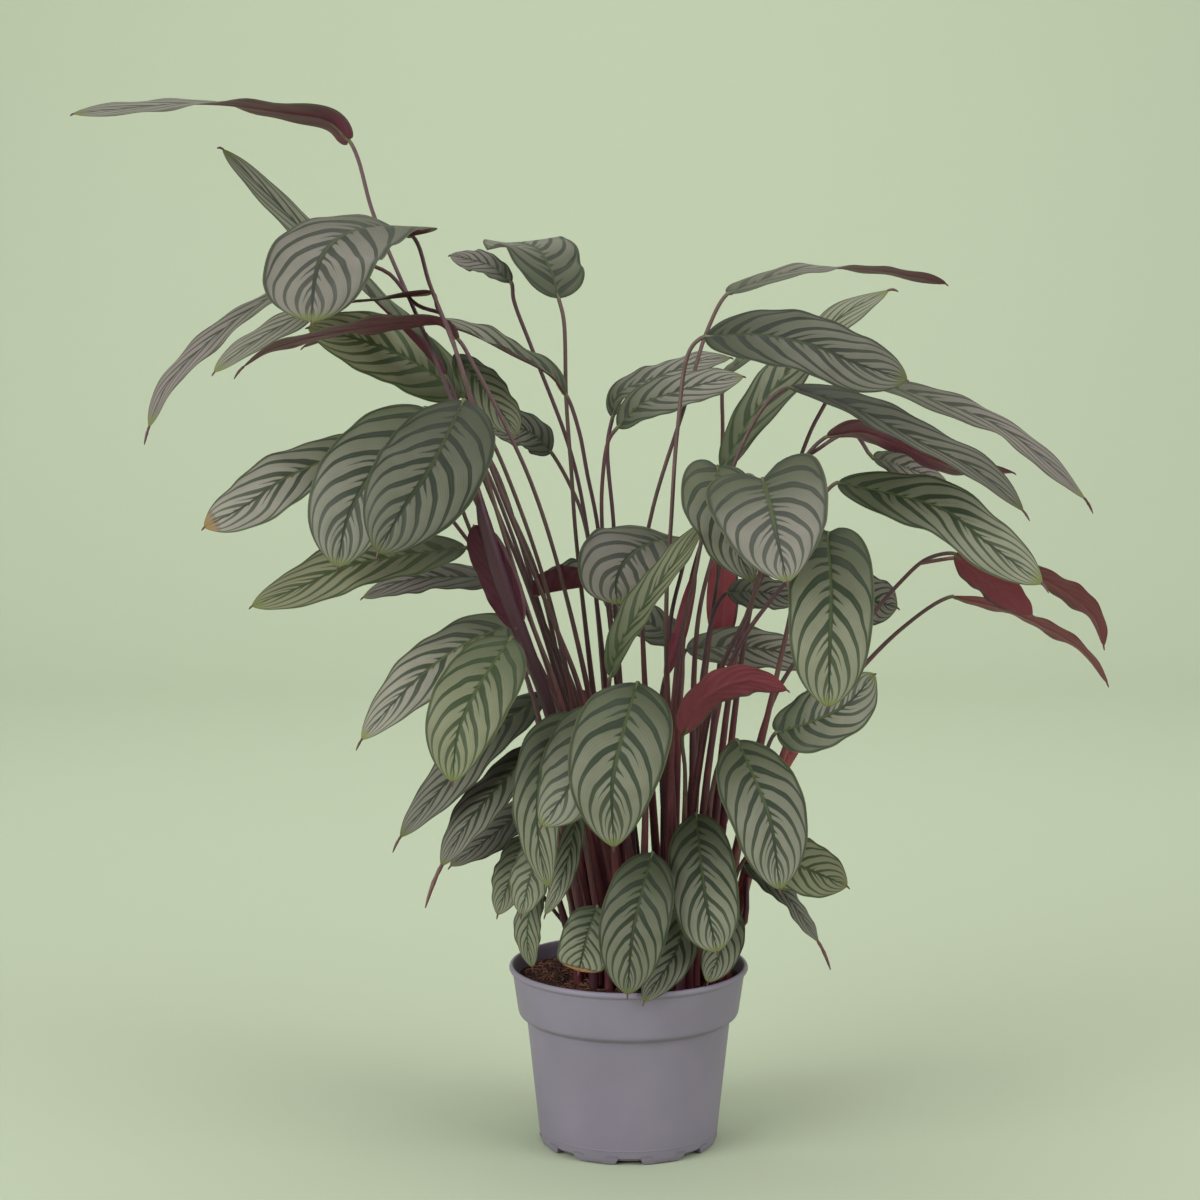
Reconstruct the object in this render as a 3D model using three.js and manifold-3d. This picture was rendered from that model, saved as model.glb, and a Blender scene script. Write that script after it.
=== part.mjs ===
// Potted never never plant: striped leaves on long purple petioles, in a grey nursery pot.
// Millimetres, +Z up. The origin is the middle of the pot's underside, -Y is the plant's front.
import * as THREE from "three";
import { mergeVertices } from "three/addons/utils/BufferGeometryUtils.js";
import Module from "manifold-3d";

const wasm = await Module();
wasm.setup();

// Pot
const potHeight = 147;
const rimRadius = 97.2;
const baseRadius = 72;
const wall = 1.6;
const floorThickness = 3;
const potSides = 36;
const notchCount = 8;
const notchWidth = 19;
const notchHeight = 6;
const notchDepth = 9;

// Soil
const soilTop = 137;
const soilRadius = 91;
const soilMound = 4;
const seatGap = 0.35;

// Leaves and stems
const bladeThickness = 1;
const stemSides = 5;
const ringPitch = 110;
const stemDepth = 18;
const stemStraight = 12;
const footRadius = 4.1;
const petioleRadius = 1.6;
// How thick a sheathed stem is, by its distance from the foot, on one at least this long
const sheathTaper = [[0, footRadius], [110, 3.4], [190, 2.7], [260, 2], [330, petioleRadius]];
const sheathedLength = 380;
const footPitch = 12.5;
const footRowPitch = 11.5;
const footShift = 22;
const footStagger = 6;

// Places are given as the plant is seen from the front: right and up on the upright plane through
// the pot's axis, and the true depth behind (+) or before (-) that plane.
const eye = new THREE.Vector3(-23.2, -2200, 710);
const lookDown = THREE.MathUtils.degToRad(6.9);
const forward = new THREE.Vector3(0, Math.cos(lookDown), -Math.sin(lookDown));
const upward = new THREE.Vector3(0, Math.sin(lookDown), Math.cos(lookDown));
const reach = -eye.y / forward.y;

function seen([right, up, depth]) {
  const ray = forward.clone().multiplyScalar(reach).addScaledVector(upward, up);
  ray.x += right;
  return ray.multiplyScalar((depth - eye.y) / ray.y).add(eye);
}

// Each leaf: its midrib from base to tip, half width, the turn of its upper side from the viewer
// about the midrib at base and tip (degrees), the V of its two halves (fold), how they arch down
// (droop), and its petiole from the blade down to the foot in the soil (column, row). Some have
// each side turned up at the base (flare) or reaching back there (lobe), left and right, a broad
// base or a blunt tip.
// A leaf with joins has no foot: its petiole grows out of another one of the same node.
const leaves = [
  // Upper left
  { node: "leaf_01", half: 29, turn: [120, 62], lobe: [6, 6], broad: 12, foot: [-3, 0],
    rib: [[-201, 368, 60], [-216, 383, 60], [-252, 390, 56], [-316, 397, 50], [-422, 389, 30]],
    stem: [[-181, 308, 42], [-140, 212, -22], [-96, 104, -38], [-54, 0, -20], [-30, -80, -10]] },
  { node: "leaf_02", half: 24, turn: [84, 54], fold: 8, flare: [45, 45], blunt: 6, foot: [-3, 1],
    rib: [[-123, 179, -2], [-162, 222, 8], [-211, 269, 28], [-302, 361, 70]],
    stem: [[-108, 140, 0], [-84, 88, 2], [-52, 0, 4], [-24, -80, 8]] },
  { node: "leaf_03", half: 50, turn: [90, 8], droop: -18, lobe: [26, 0], flare: [46, 0], blunt: 7,
    foot: [-2, -2],
    rib: [[-150, 291, -50], [-178, 298, -62], [-206, 291, -84], [-222, 275, -104], [-228, 256, -120],
      [-231, 222, -134]],
    stem: [[-136, 252, -64], [-112, 190, -86], [-92, 120, -80], [-64, 48, -60], [-36, -20, -44],
      [-14, -80, -38]] },
  { node: "leaf_05", half: 29, turn: [103, 56], foot: [-3, -1],
    rib: [[-135, 246, -20], [-176, 241, -35], [-222, 234, -55], [-280, 204, -80], [-309, 182, -95]],
    stem: [[-130, 234, -40], [-120, 214, -66], [-106, 170, -62], [-76, 104, -44], [-46, 20, -34],
      [-22, -80, -26]] },
  { node: "leaf_05", half: 20, turn: [74, 64], blunt: 9, joins: 0.9,
    rib: [[-200, 270, -10], [-260, 244, -20], [-305, 213, -35], [-346, 172, -55], [-361, 138, -64]],
    stem: [[-170, 262, -8], [-149, 238, -16]] },
  { node: "leaf_08", half: 25, turn: [106, 100], foot: [-2, -1],
    rib: [[-114, 209, -30], [-128, 221, -40], [-200, 216, -60], [-264, 200, -62], [-286, 186, -60]],
    stem: [[-102, 190, -40], [-76, 140, -48], [-56, 96, -46], [-36, 36, -38], [-8, -80, -26]] },
  { node: "leaf_09", half: 22, turn: [76, 76], fold: 22, foot: [-1, 1],
    rib: [[-27, 164, 8], [-40, 180, 6], [-72, 197, 0], [-104, 213, -4], [-144, 225, -6]],
    stem: [[-17, 136, 10], [-10, 100, 12], [-2, 60, 14]] },
  { node: "leaf_10", half: 31, turn: [35, 25], foot: [-4, 2],
    rib: [[-110, 163, 44], [-136, 182, 40], [-160, 196, 36], [-192, 208, 28], [-234, 218, 18]],
    stem: [[-96, 128, 42], [-80, 96, 38], [-56, 20, 30], [-30, -80, 26]] },
  { node: "leaf_48", half: 21, turn: [-48, -35], blunt: 6, foot: [-4, 1],
    rib: [[-116, 196, 12], [-92, 168, 8], [-66, 132, 4]],
    stem: [[-106, 158, 20], [-84, 98, 18], [-50, 20, 14], [-28, -80, 14]] },
  { node: "leaf_49", half: 20, turn: [42, 42], foot: [-2, 4],
    rib: [[-39, 118, 64], [-56, 134, 60], [-92, 140, 54]],
    stem: [[-24, 92, 64], [-11, 56, 58]] },
  { node: "leaf_47", half: 38, turn: [25, 102], fold: 4, droop: -4, foot: [-2, 2],
    rib: [[-33, 241, 40], [-39, 262, 54], [-47, 277, 72], [-58, 284, 100], [-84, 286, 150]],
    stem: [[-29, 224, 34], [-27, 160, 32], [-23, 104, 28], [-19, 48, 22]] },
  { node: "leaf_07", half: 11, turn: [34, 24], foot: [-2, 3],
    rib: [[-71, 254, 50], [-87, 267, 60], [-120, 276, 86]],
    stem: [[-69, 240, 50], [-54, 200, 50], [-24, 120, 48], [-10, 54, 43]] },
  // Left
  { node: "leaf_12", half: 42, turn: [25, 10], droop: -15, foot: [-3, -3],
    rib: [[-109, 160, -130], [-126, 124, -160], [-139, 100, -175], [-157, 74, -185], [-178, 37, -190]],
    stem: [[-103, 142, -108], [-90, 96, -88], [-78, 56, -80], [-54, -20, -70], [-32, -80, -62]] },
  { node: "leaf_13", half: 42, turn: [30, 10], droop: -15, foot: [-4, -1],
    rib: [[-140, 154, -85], [-168, 120, -105], [-191, 88, -118], [-203, 62, -124], [-210, 26, -128]],
    stem: [[-126, 124, -60], [-110, 72, -42], [-80, 0, -24], [-36, -90, -18]] },
  { node: "leaf_13", half: 29, turn: [54, 35], blunt: 6, joins: 0.68,
    rib: [[-180, 128, -50], [-224, 110, -62], [-254, 96, -72], [-284, 75, -82], [-317, 58, -90]],
    stem: [[-154, 106, -44], [-128, 76, -46]] },
  { node: "leaf_15", half: 29, turn: [55, 40], foot: [-4, -2],
    rib: [[-107, 42, -60], [-160, 35, -70], [-204, 26, -80], [-240, 10, -88], [-279, -5, -92]],
    stem: [[-92, 18, -50], [-58, -34, -34], [-30, -100, -28]] },
  { node: "leaf_16", half: 26, turn: [66, 60], foot: [-5, 2],
    rib: [[-70, 16, 24], [-112, 18, 32], [-152, 16, 37], [-190, 2, 40]],
    stem: [[-64, -10, 24], [-44, -80, 24]] },
  { node: "leaf_17", half: 16, turn: [165, 165], fold: 20, blunt: 9, foot: [-4, -3],
    rib: [[-66, -24, -79], [-80, 12, -82], [-101, 60, -84]],
    stem: [[-58, -50, -74], [-46, -80, -62]] },
  { node: "leaf_18", half: 30, turn: [52, 34], lobe: [0, 10], broad: 9, blunt: 3.2, foot: [-3, -2],
    rib: [[-70, -20, -48], [-104, -33, -66], [-134, -53, -82], [-158, -75, -92], [-191, -112, -104]],
    stem: [[-56, -50, -46], [-32, -90, -42]] },
  { node: "leaf_19", half: 31, turn: [20, 5], droop: -12, foot: [-4, -4],
    rib: [[-71, -30, -108], [-90, -58, -132], [-104, -82, -144], [-114, -108, -152], [-118, -146, -154]],
    stem: [[-62, -52, -92], [-50, -90, -78]] },
  { node: "leaf_20", half: 28, turn: [55, 42], blunt: 3.5, foot: [-4, 0],
    rib: [[-44, -74, 6], [-84, -105, -14], [-125, -149, -34], [-160, -190, -50]],
    stem: [[-34, -104, 2]] },
  { node: "leaf_21", half: 23, turn: [45, 45], foot: [-5, -1],
    rib: [[-52, -116, -12], [-80, -148, -30], [-104, -176, -46], [-127, -213, -60]],
    stem: [[-44, -140, -10]] },
  { node: "leaf_22", half: 22, turn: [50, 50], foot: [-5, 1],
    rib: [[-42, -152, 16], [-80, -184, 8], [-120, -213, -2]],
    stem: [[-38, -180, 16]] },
  // Lower left and front
  { node: "leaf_23", half: 24, turn: [30, 40], foot: [-2, -3],
    rib: [[-22, -90, -84], [-44, -120, -98], [-50, -160, -104], [-48, -200, -106], [-41, -230, -104]],
    stem: [[-14, -122, -68]] },
  { node: "leaf_24", half: 30, turn: [15, 25], foot: [-2, -4],
    rib: [[-6, -84, -104], [-14, -120, -124], [-26, -152, -132], [-47, -181, -134]],
    stem: [[2, -120, -82]] },
  { node: "leaf_25", half: 19, turn: [30, 30], foot: [-5, -2],
    rib: [[-44, -192, -50], [-54, -216, -60], [-63, -252, -66]],
    stem: [[-40, -214, -42]] },
  { node: "leaf_25", half: 18, turn: [35, 35], joins: 0.4,
    rib: [[-60, -188, -22], [-70, -218, -30], [-82, -252, -34]],
    stem: [[-50, -206, -20]] },
  { node: "leaf_25", half: 13, turn: [30, 30], joins: 0.3,
    rib: [[-50, -224, -36], [-56, -248, -42], [-58, -272, -44], [-54, -294, -44]],
    stem: [[-46, -236, -30]] },
  { node: "leaf_26", half: 40, turn: [12, 2], droop: -12, blunt: 3.6, foot: [-1, -4],
    rib: [[30, -66, -104], [19, -104, -136], [10, -146, -150], [11, -198, -152]],
    stem: [[36, -96, -84]] },
  { node: "leaf_27", half: 10, turn: [10, 10], foot: [-3, -4],
    rib: [[-18, -160, -70], [-24, -200, -80], [-34, -232, -84], [-44, -252, -86]],
    stem: [[-13, -190, -62]] },
  { node: "leaf_29", half: 20, turn: [10, 5], blunt: 20, foot: [-2, -5],
    rib: [[-2, -245, -78], [-10, -268, -88], [-17, -297, -90]],
    stem: [[0, -258, -70]] },
  { node: "leaf_32", half: 28, turn: [8, 2], blunt: 5, foot: [-1, -5],
    rib: [[42, -202, -92], [33, -236, -106], [26, -268, -112], [22, -316, -113]],
    stem: [[44, -236, -82]] },
  { node: "leaf_33", half: 17, turn: [12, 12], foot: [1, -5],
    rib: [[64, -236, -54], [64, -272, -70], [35, -322, -105]],
    stem: [[64, -258, -50]] },
  { node: "leaf_34", half: 27, turn: [10, -10], blunt: 7, foot: [2, -4],
    rib: [[77, -171, -66], [81, -212, -88], [86, -248, -96], [94, -282, -96]],
    stem: [[78, -200, -58]] },
  { node: "leaf_35", half: 17, turn: [-15, -5], foot: [3, -3],
    rib: [[102, -240, -50], [98, -276, -66], [86, -306, -76]],
    stem: [[98, -252, -42]] },
  // Lower right
  { node: "leaf_36", half: 32, turn: [-20, -8], droop: -12, foot: [2, -3],
    rib: [[110, -112, -92], [124, -144, -118], [136, -176, -130], [144, -232, -136]],
    stem: [[94, -134, -66]] },
  { node: "leaf_37", half: 27, turn: [-38, -25], foot: [4, -2],
    rib: [[124, -200, -60], [162, -214, -74], [198, -229, -84]],
    stem: [[108, -222, -46]] },
  { node: "leaf_37", half: 12, turn: [-50, -50], joins: 0.5,
    rib: [[114, -212, -40], [147, -235, -50], [175, -274, -60]],
    stem: [[108, -224, -36]] },
  { node: "leaf_58", half: 29, turn: [-30, -30], lobe: [10, 0], broad: 5, foot: [3, -2],
    rib: [[141, -106, -70], [168, -98, -84], [197, -84, -92], [220, -59, -96]],
    stem: [[130, -130, -58]] },
  // Centre
  { node: "leaf_31", half: 30, turn: [-85, -85], fold: 48, foot: [-2, 0],
    rib: [[-54, 4, -4], [-32, 8, -8], [10, 14, -26]],
    stem: [[-44, -20, -10], [-18, -80, -12]] },
  { node: "leaf_46", half: 16, turn: [-50, -50], foot: [-1, 0],
    rib: [[10, 146, 20], [14, 164, 24], [48, 179, 36], [80, 191, 46], [105, 194, 54]],
    stem: [[6, 124, 18], [11, 58, 10], [12, 0, 4]] },
  { node: "leaf_46", half: 20, turn: [-42, -42], joins: 0.45,
    rib: [[14, 138, -5], [32, 156, -8], [60, 166, -6], [88, 174, 0], [115, 179, 6]],
    stem: [[7, 128, -3], [2, 96, -2], [2, 52, -2]] },
  { node: "leaf_50", half: 40, turn: [80, -18], droop: -18, blunt: 5.5, foot: [0, -1],
    rib: [[66, 50, -10], [42, 46, -26], [22, 33, -44], [13, 15, -57], [14, -4, -62]],
    stem: [[67, 32, -1], [56, -20, -6]] },
  { node: "leaf_51", half: 22, turn: [45, 45], foot: [0, 2],
    rib: [[65, -34, 40], [38, -18, 50], [2, 4, 60]],
    stem: [[64, -60, 38]] },
  { node: "leaf_52", half: 17, turn: [-45, -45], fold: 20, foot: [-1, -3],
    rib: [[8, -62, -88], [18, -32, -98], [44, 8, -104], [86, 64, -96]],
    stem: [[8, -90, -76]] },
  { node: "leaf_50", half: 6, turn: [180, 180], joins: 0.25,
    rib: [[52, -62, -30], [63, -30, -34], [71, 2, -34], [77, 26, -34]],
    stem: [[48, -90, -14]] },
  // Upper right
  { node: "leaf_42", half: 27, turn: [-50, -60], foot: [1, 0],
    rib: [[98, 104, -30], [120, 144, -20], [152, 184, 0], [192, 226, 20], [231, 248, 40]],
    stem: [[84, 56, -22], [70, 0, -14]] },
  { node: "leaf_43", half: 28, turn: [-42, -30], blunt: 7.5, foot: [1, -1],
    rib: [[84, 211, -60], [128, 212, -80], [172, 203, -96], [205, 189, -104], [246, 176, -110]],
    stem: [[72, 200, -58], [62, 136, -62], [57, 64, -65], [53, -10, -58]] },
  { node: "leaf_45", half: 26, turn: [-64, -112], blunt: 7, foot: [0, 1],
    rib: [[102, 245, 40], [128, 255, 60], [160, 264, 80], [220, 264, 108], [277, 253, 125]],
    stem: [[86, 216, 34], [68, 156, 16], [42, 72, 8], [34, 20, 8]] },
  { node: "leaf_65", half: 28, turn: [-72, -70], blunt: 6, foot: [3, 1],
    rib: [[200, 180, 20], [272, 158, 40], [320, 138, 55], [360, 108, 65], [388, 81, 72]],
    stem: [[174, 146, 12], [154, 96, 8], [122, 0, 10]] },
  { node: "leaf_66", half: 22, turn: [-62, -55], fold: 18, blunt: 6, foot: [2, -1],
    rib: [[152, 170, -50], [200, 155, -66], [256, 126, -80], [300, 104, -88], [339, 71, -94]],
    stem: [[134, 158, -46], [108, 110, -44], [94, 50, -36], [78, -20, -30]] },
  { node: "leaf_67", half: 28, turn: [-110, -106], foot: [3, 0],
    rib: [[182, 131, -20], [208, 135, -30], [240, 124, -38], [280, 108, -44], [331, 102, -48]],
    stem: [[162, 110, -14], [146, 56, -12], [112, -30, -8]] },
  { node: "leaf_67", half: 20, turn: [-60, -60], joins: 0.9,
    rib: [[218, 114, 0], [244, 106, 4], [278, 94, 8]],
    stem: [[202, 134, 8]] },
  // Right
  { node: "leaf_40", half: 46, turn: [0, -5], droop: -14, lobe: [24, 24], flare: [12, 12], broad: 18,
    blunt: 3, foot: [1, -2],
    rib: [[130, 97, -120], [136, 76, -165], [142, 48, -205], [150, 14, -235]],
    stem: [[136, 66, -96], [122, 0, -66], [92, -70, -48]] },
  { node: "leaf_41", half: 29, turn: [15, -50], wave: 4, lobe: [0, 14], flare: [0, 15], broad: 9,
    foot: [0, -3],
    rib: [[94, 107, -68], [95, 80, -94], [106, 48, -112], [122, 14, -120]],
    stem: [[88, 84, -60], [76, 20, -64], [62, -50, -60]] },
  { node: "leaf_53", half: 32, turn: [-5, -2], droop: -14, lobe: [10, 22], broad: 12, blunt: 6,
    foot: [2, -2],
    rib: [[182, 54, -130], [185, 8, -165], [184, -32, -180], [183, -86, -182]],
    stem: [[166, 30, -106], [140, 4, -80], [102, -58, -58]] },
  { node: "leaf_54", half: 20, turn: [-45, -45], foot: [1, 1],
    rib: [[102, 6, 34], [128, 6, 32], [160, 0, 28]],
    stem: [[92, -8, 32], [82, -60, 26]] },
  { node: "leaf_55", half: 26, turn: [-48, -48], foot: [1, 2],
    rib: [[69, -40, 58], [112, -38, 66], [184, -48, 76]],
    stem: [[66, -64, 50]] },
  { node: "leaf_56", half: 14, turn: [180, 180], foot: [2, 3],
    rib: [[97, -34, 100], [98, 0, 102], [100, 46, 106]],
    stem: [[92, -80, 88]] },
  { node: "leaf_57", half: 19, turn: [-135, -135], foot: [1, -3],
    rib: [[66, -108, -74], [84, -78, -82], [118, -64, -88], [150, -72, -92]],
    stem: [[68, -136, -68], [67, -190, -52], [64, -240, -40]] },
  { node: "leaf_59", half: 25, turn: [-35, -35], blunt: 6, foot: [4, 0],
    rib: [[188, 0, 2], [212, 0, -2], [238, -6, -6]],
    stem: [[168, -32, 6], [136, -86, 6]] },
  { node: "leaf_60", half: 27, turn: [-45, -30], blunt: 6, foot: [3, -1],
    rib: [[190, 94, -50], [240, 83, -66], [277, 71, -76], [309, 46, -84], [354, 13, -92]],
    stem: [[170, 66, -44], [148, -32, -36]] },
  { node: "leaf_61", half: 17, turn: [-108, -104], blunt: 9, foot: [4, 1],
    rib: [[282, 3, 40], [320, -6, 55], [353, -20, 70], [387, -41, 85], [406, -67, 95]],
    stem: [[240, -24, 36], [184, -83, 26], [160, -112, 20, 5], [138, -150, 16, 6]] },
  { node: "leaf_62", half: 20, turn: [-135, -135], foot: [4, -1],
    rib: [[284, 37, -20], [311, 16, -25], [346, -12, -30]],
    stem: [[262, 33, -20], [240, 14, -22], [196, -40, -24], [156, -100, -24]] },
  { node: "leaf_62", half: 24, turn: [-112, -112], joins: 0.9,
    rib: [[320, 32, 0], [368, 10, 10], [396, -14, 15], [403, -37, 20]],
    stem: [[288, 34, -8]] },
  // Back
  { node: "leaf_70", half: 30, turn: [80, 130], foot: [-4, 3],
    rib: [[-120, 120, 60], [-140, 130, 110], [-165, 108, 150], [-180, 66, 175]],
    stem: [[-100, 80, 52], [-40, -60, 44]] },
  { node: "leaf_70", half: 22, turn: [75, 105], joins: 0.75,
    rib: [[-140, 192, 70], [-170, 214, 100], [-204, 214, 130], [-238, 202, 150]],
    stem: [[-112, 130, 48]] },
  { node: "leaf_70", half: 27, turn: [60, 125], joins: 0.3,
    rib: [[-60, -60, 80], [-76, -50, 120], [-96, -80, 155], [-106, -146, 170]],
    stem: [[-46, -110, 60]] },
  { node: "leaf_70", half: 27, turn: [150, 150], joins: 0.25,
    rib: [[0, -74, 90], [-10, -86, 126], [-20, -122, 154], [-28, -180, 168]],
    stem: [[-8, -130, 66]] },
  { node: "leaf_71", half: 28, turn: [-75, -135], foot: [2, 2],
    rib: [[110, 90, 60], [130, 94, 100], [146, 78, 140], [152, 36, 165]],
    stem: [[100, 50, 50], [84, -60, 36]] },
  { node: "leaf_71", half: 24, turn: [-70, -125], joins: 0.2,
    rib: [[108, -150, 90], [122, -146, 125], [136, -172, 150], [142, -222, 165]],
    stem: [[98, -184, 74]] },
  { node: "leaf_71", half: 24, turn: [-70, -100], joins: 0.75,
    rib: [[100, 180, 60], [130, 200, 90], [165, 192, 120], [196, 170, 140]],
    stem: [[98, 130, 50]] },
];

// Stems without a blade: rolled new leaves and bare sheaths, with the radius at each point
const spears = [
  { node: "leaf_17", joins: 0.3,
    stem: [[-98, 88, -86, 2], [-92, 60, -84, 5.5], [-78, 14, -80, 6.5], [-62, -30, -74, 6],
      [-40, -90, -60, 5]] },
  { node: "leaf_37", joins: 0.3, stem: [[118, -222, -22, 1.5], [114, -260, -24, 3]] },
];

// Mesh helpers: point lists and triangles in, closed solids out
function solidFrom(points, triangles) {
  const vertProperties = new Float32Array(points.flatMap((p) => [p.x, p.y, p.z]));
  const triVerts = new Uint32Array(triangles.flat());
  return new wasm.Manifold(new wasm.Mesh({ numProp: 3, vertProperties, triVerts }));
}

function solidFromGeometry(geometry) {
  geometry.deleteAttribute("normal");
  geometry.deleteAttribute("uv");
  const merged = mergeVertices(geometry, 1e-4);
  const mesh = { numProp: 3, vertProperties: merged.attributes.position.array };
  mesh.triVerts = new Uint32Array(merged.index.array);
  return new wasm.Manifold(new wasm.Mesh(mesh));
}

function meshFrom(solid, name, color, roughness) {
  const { vertProperties, triVerts } = solid.getMesh();
  const geometry = new THREE.BufferGeometry();
  geometry.setAttribute("position", new THREE.BufferAttribute(vertProperties, 3));
  geometry.setIndex(new THREE.BufferAttribute(triVerts, 1));
  geometry.computeVertexNormals();
  const material = new THREE.MeshStandardMaterial({ color, roughness, metalness: 0 });
  const mesh = new THREE.Mesh(geometry, material);
  mesh.name = name;
  return mesh;
}

// A smooth route through hand-placed points, read by length from 0 to 1
function route(points) {
  return new THREE.CatmullRomCurve3(points, false, "centripetal");
}

// The midrib's place and the directions along, out of the upper side, and across, at t
function ribFrame(rib, turn, t) {
  const at = rib.getPointAt(t);
  const along = rib.getTangentAt(t);
  const toEye = eye.clone().sub(at);
  toEye.addScaledVector(along, -toEye.dot(along)).normalize();
  const angle = THREE.MathUtils.degToRad(THREE.MathUtils.lerp(turn[0], turn[1], t));
  const out = toEye.clone().multiplyScalar(Math.cos(angle));
  out.addScaledVector(along.clone().cross(toEye), Math.sin(angle));
  const across = along.clone().cross(out);
  return { at, along, out, across };
}

// Oblong outline: round at the base, drawn to a short point at the tip
function bladeWidth(t, broad, blunt) {
  return Math.pow(1 - Math.pow(1 - t, broad), 0.6) * Math.pow(1 - Math.pow(t, blunt), 0.8);
}

function bladePoint(leaf, rib, t, s) {
  const { fold = 6, flare = [0, 0], droop = -8, wave = 1.6, lobe = [0, 0], broad = 6, blunt = 4.5 } = leaf;
  const side = s < 0 ? 0 : 1;
  const frame = ribFrame(rib, leaf.turn, t);
  const away = Math.abs(s);
  const rise = THREE.MathUtils.degToRad(fold + flare[side] * Math.pow(1 - t, 4) + droop * away / 2);
  const share = bladeWidth(t, broad, blunt);
  const width = leaf.half * share;
  const ripple = wave * away * away * Math.sin(14 * t + (s < 0 ? 2 : 0)) * Math.sin(Math.PI * t);
  const point = frame.at.clone();
  point.addScaledVector(frame.across, width * s * Math.cos(rise));
  point.addScaledVector(frame.out, width * away * Math.sin(rise) + ripple);
  const reachBack = Math.pow(away, 1.3) * Math.pow(1 - t, 3) * (1 - Math.pow(1 - share, 3));
  const back = lobe[side] * reachBack;
  point.addScaledVector(frame.along, -back);
  return point;
}

// Rows along the blade between its base and tip, more on a broad one, and columns across it
const firstRow = 0.05;
const lastRow = 0.96;
const rowsByWidth = [[22, 5], [29, 6], [Infinity, 7]];
const bladeColumns = [-1, -0.55, 0, 0.55, 1];

// Joins two closed loops of points, whose angles rise around the same axis, by a band of triangles
function bandBetween(low, high) {
  const band = [];
  const turnTo = (loop, k) => loop[k % loop.length].angle + (k < loop.length ? 0 : 2 * Math.PI);
  let i = 0;
  let j = 0;
  while (i < low.length || j < high.length) {
    const [a, b] = [low[i % low.length].index, high[j % high.length].index];
    const stepLow = i < low.length ? turnTo(low, i + 1) : Infinity;
    const stepHigh = j < high.length ? turnTo(high, j + 1) : Infinity;
    if (stepLow <= stepHigh) {
      band.push([a, low[(i + 1) % low.length].index, b]);
      i += 1;
    } else {
      band.push([a, high[(j + 1) % high.length].index, b]);
      j += 1;
    }
  }
  return band;
}

// A round bar through rings given as centre, direction and radius, closed at its first end
function barSkin(rings) {
  const points = [];
  const triangles = [];
  let side = new THREE.Vector3(1, 0, 0);
  for (const { at, along, radius } of rings) {
    side = side.clone().addScaledVector(along, -side.dot(along)).normalize();
    const other = along.clone().cross(side);
    for (let k = 0; k < stemSides; k += 1) {
      const angle = (2 * Math.PI * k) / stemSides;
      const point = at.clone().addScaledVector(side, radius * Math.cos(angle));
      points.push(point.addScaledVector(other, radius * Math.sin(angle)));
    }
  }
  for (let ring = 0; ring < rings.length - 1; ring += 1) {
    for (let k = 0; k < stemSides; k += 1) {
      const next = (k + 1) % stemSides;
      const low = ring * stemSides;
      const high = low + stemSides;
      triangles.push([low + k, low + next, high + next], [low + k, high + next, high + k]);
    }
  }
  for (let k = 1; k < stemSides - 1; k += 1) triangles.push([0, k + 1, k]);
  return { points, triangles, side };
}

function barSolid(rings) {
  const { points, triangles } = barSkin(rings);
  const end = (rings.length - 1) * stemSides;
  for (let k = 1; k < stemSides - 1; k += 1) triangles.push([end, end + k, end + k + 1]);
  return solidFrom(points, triangles);
}

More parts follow.
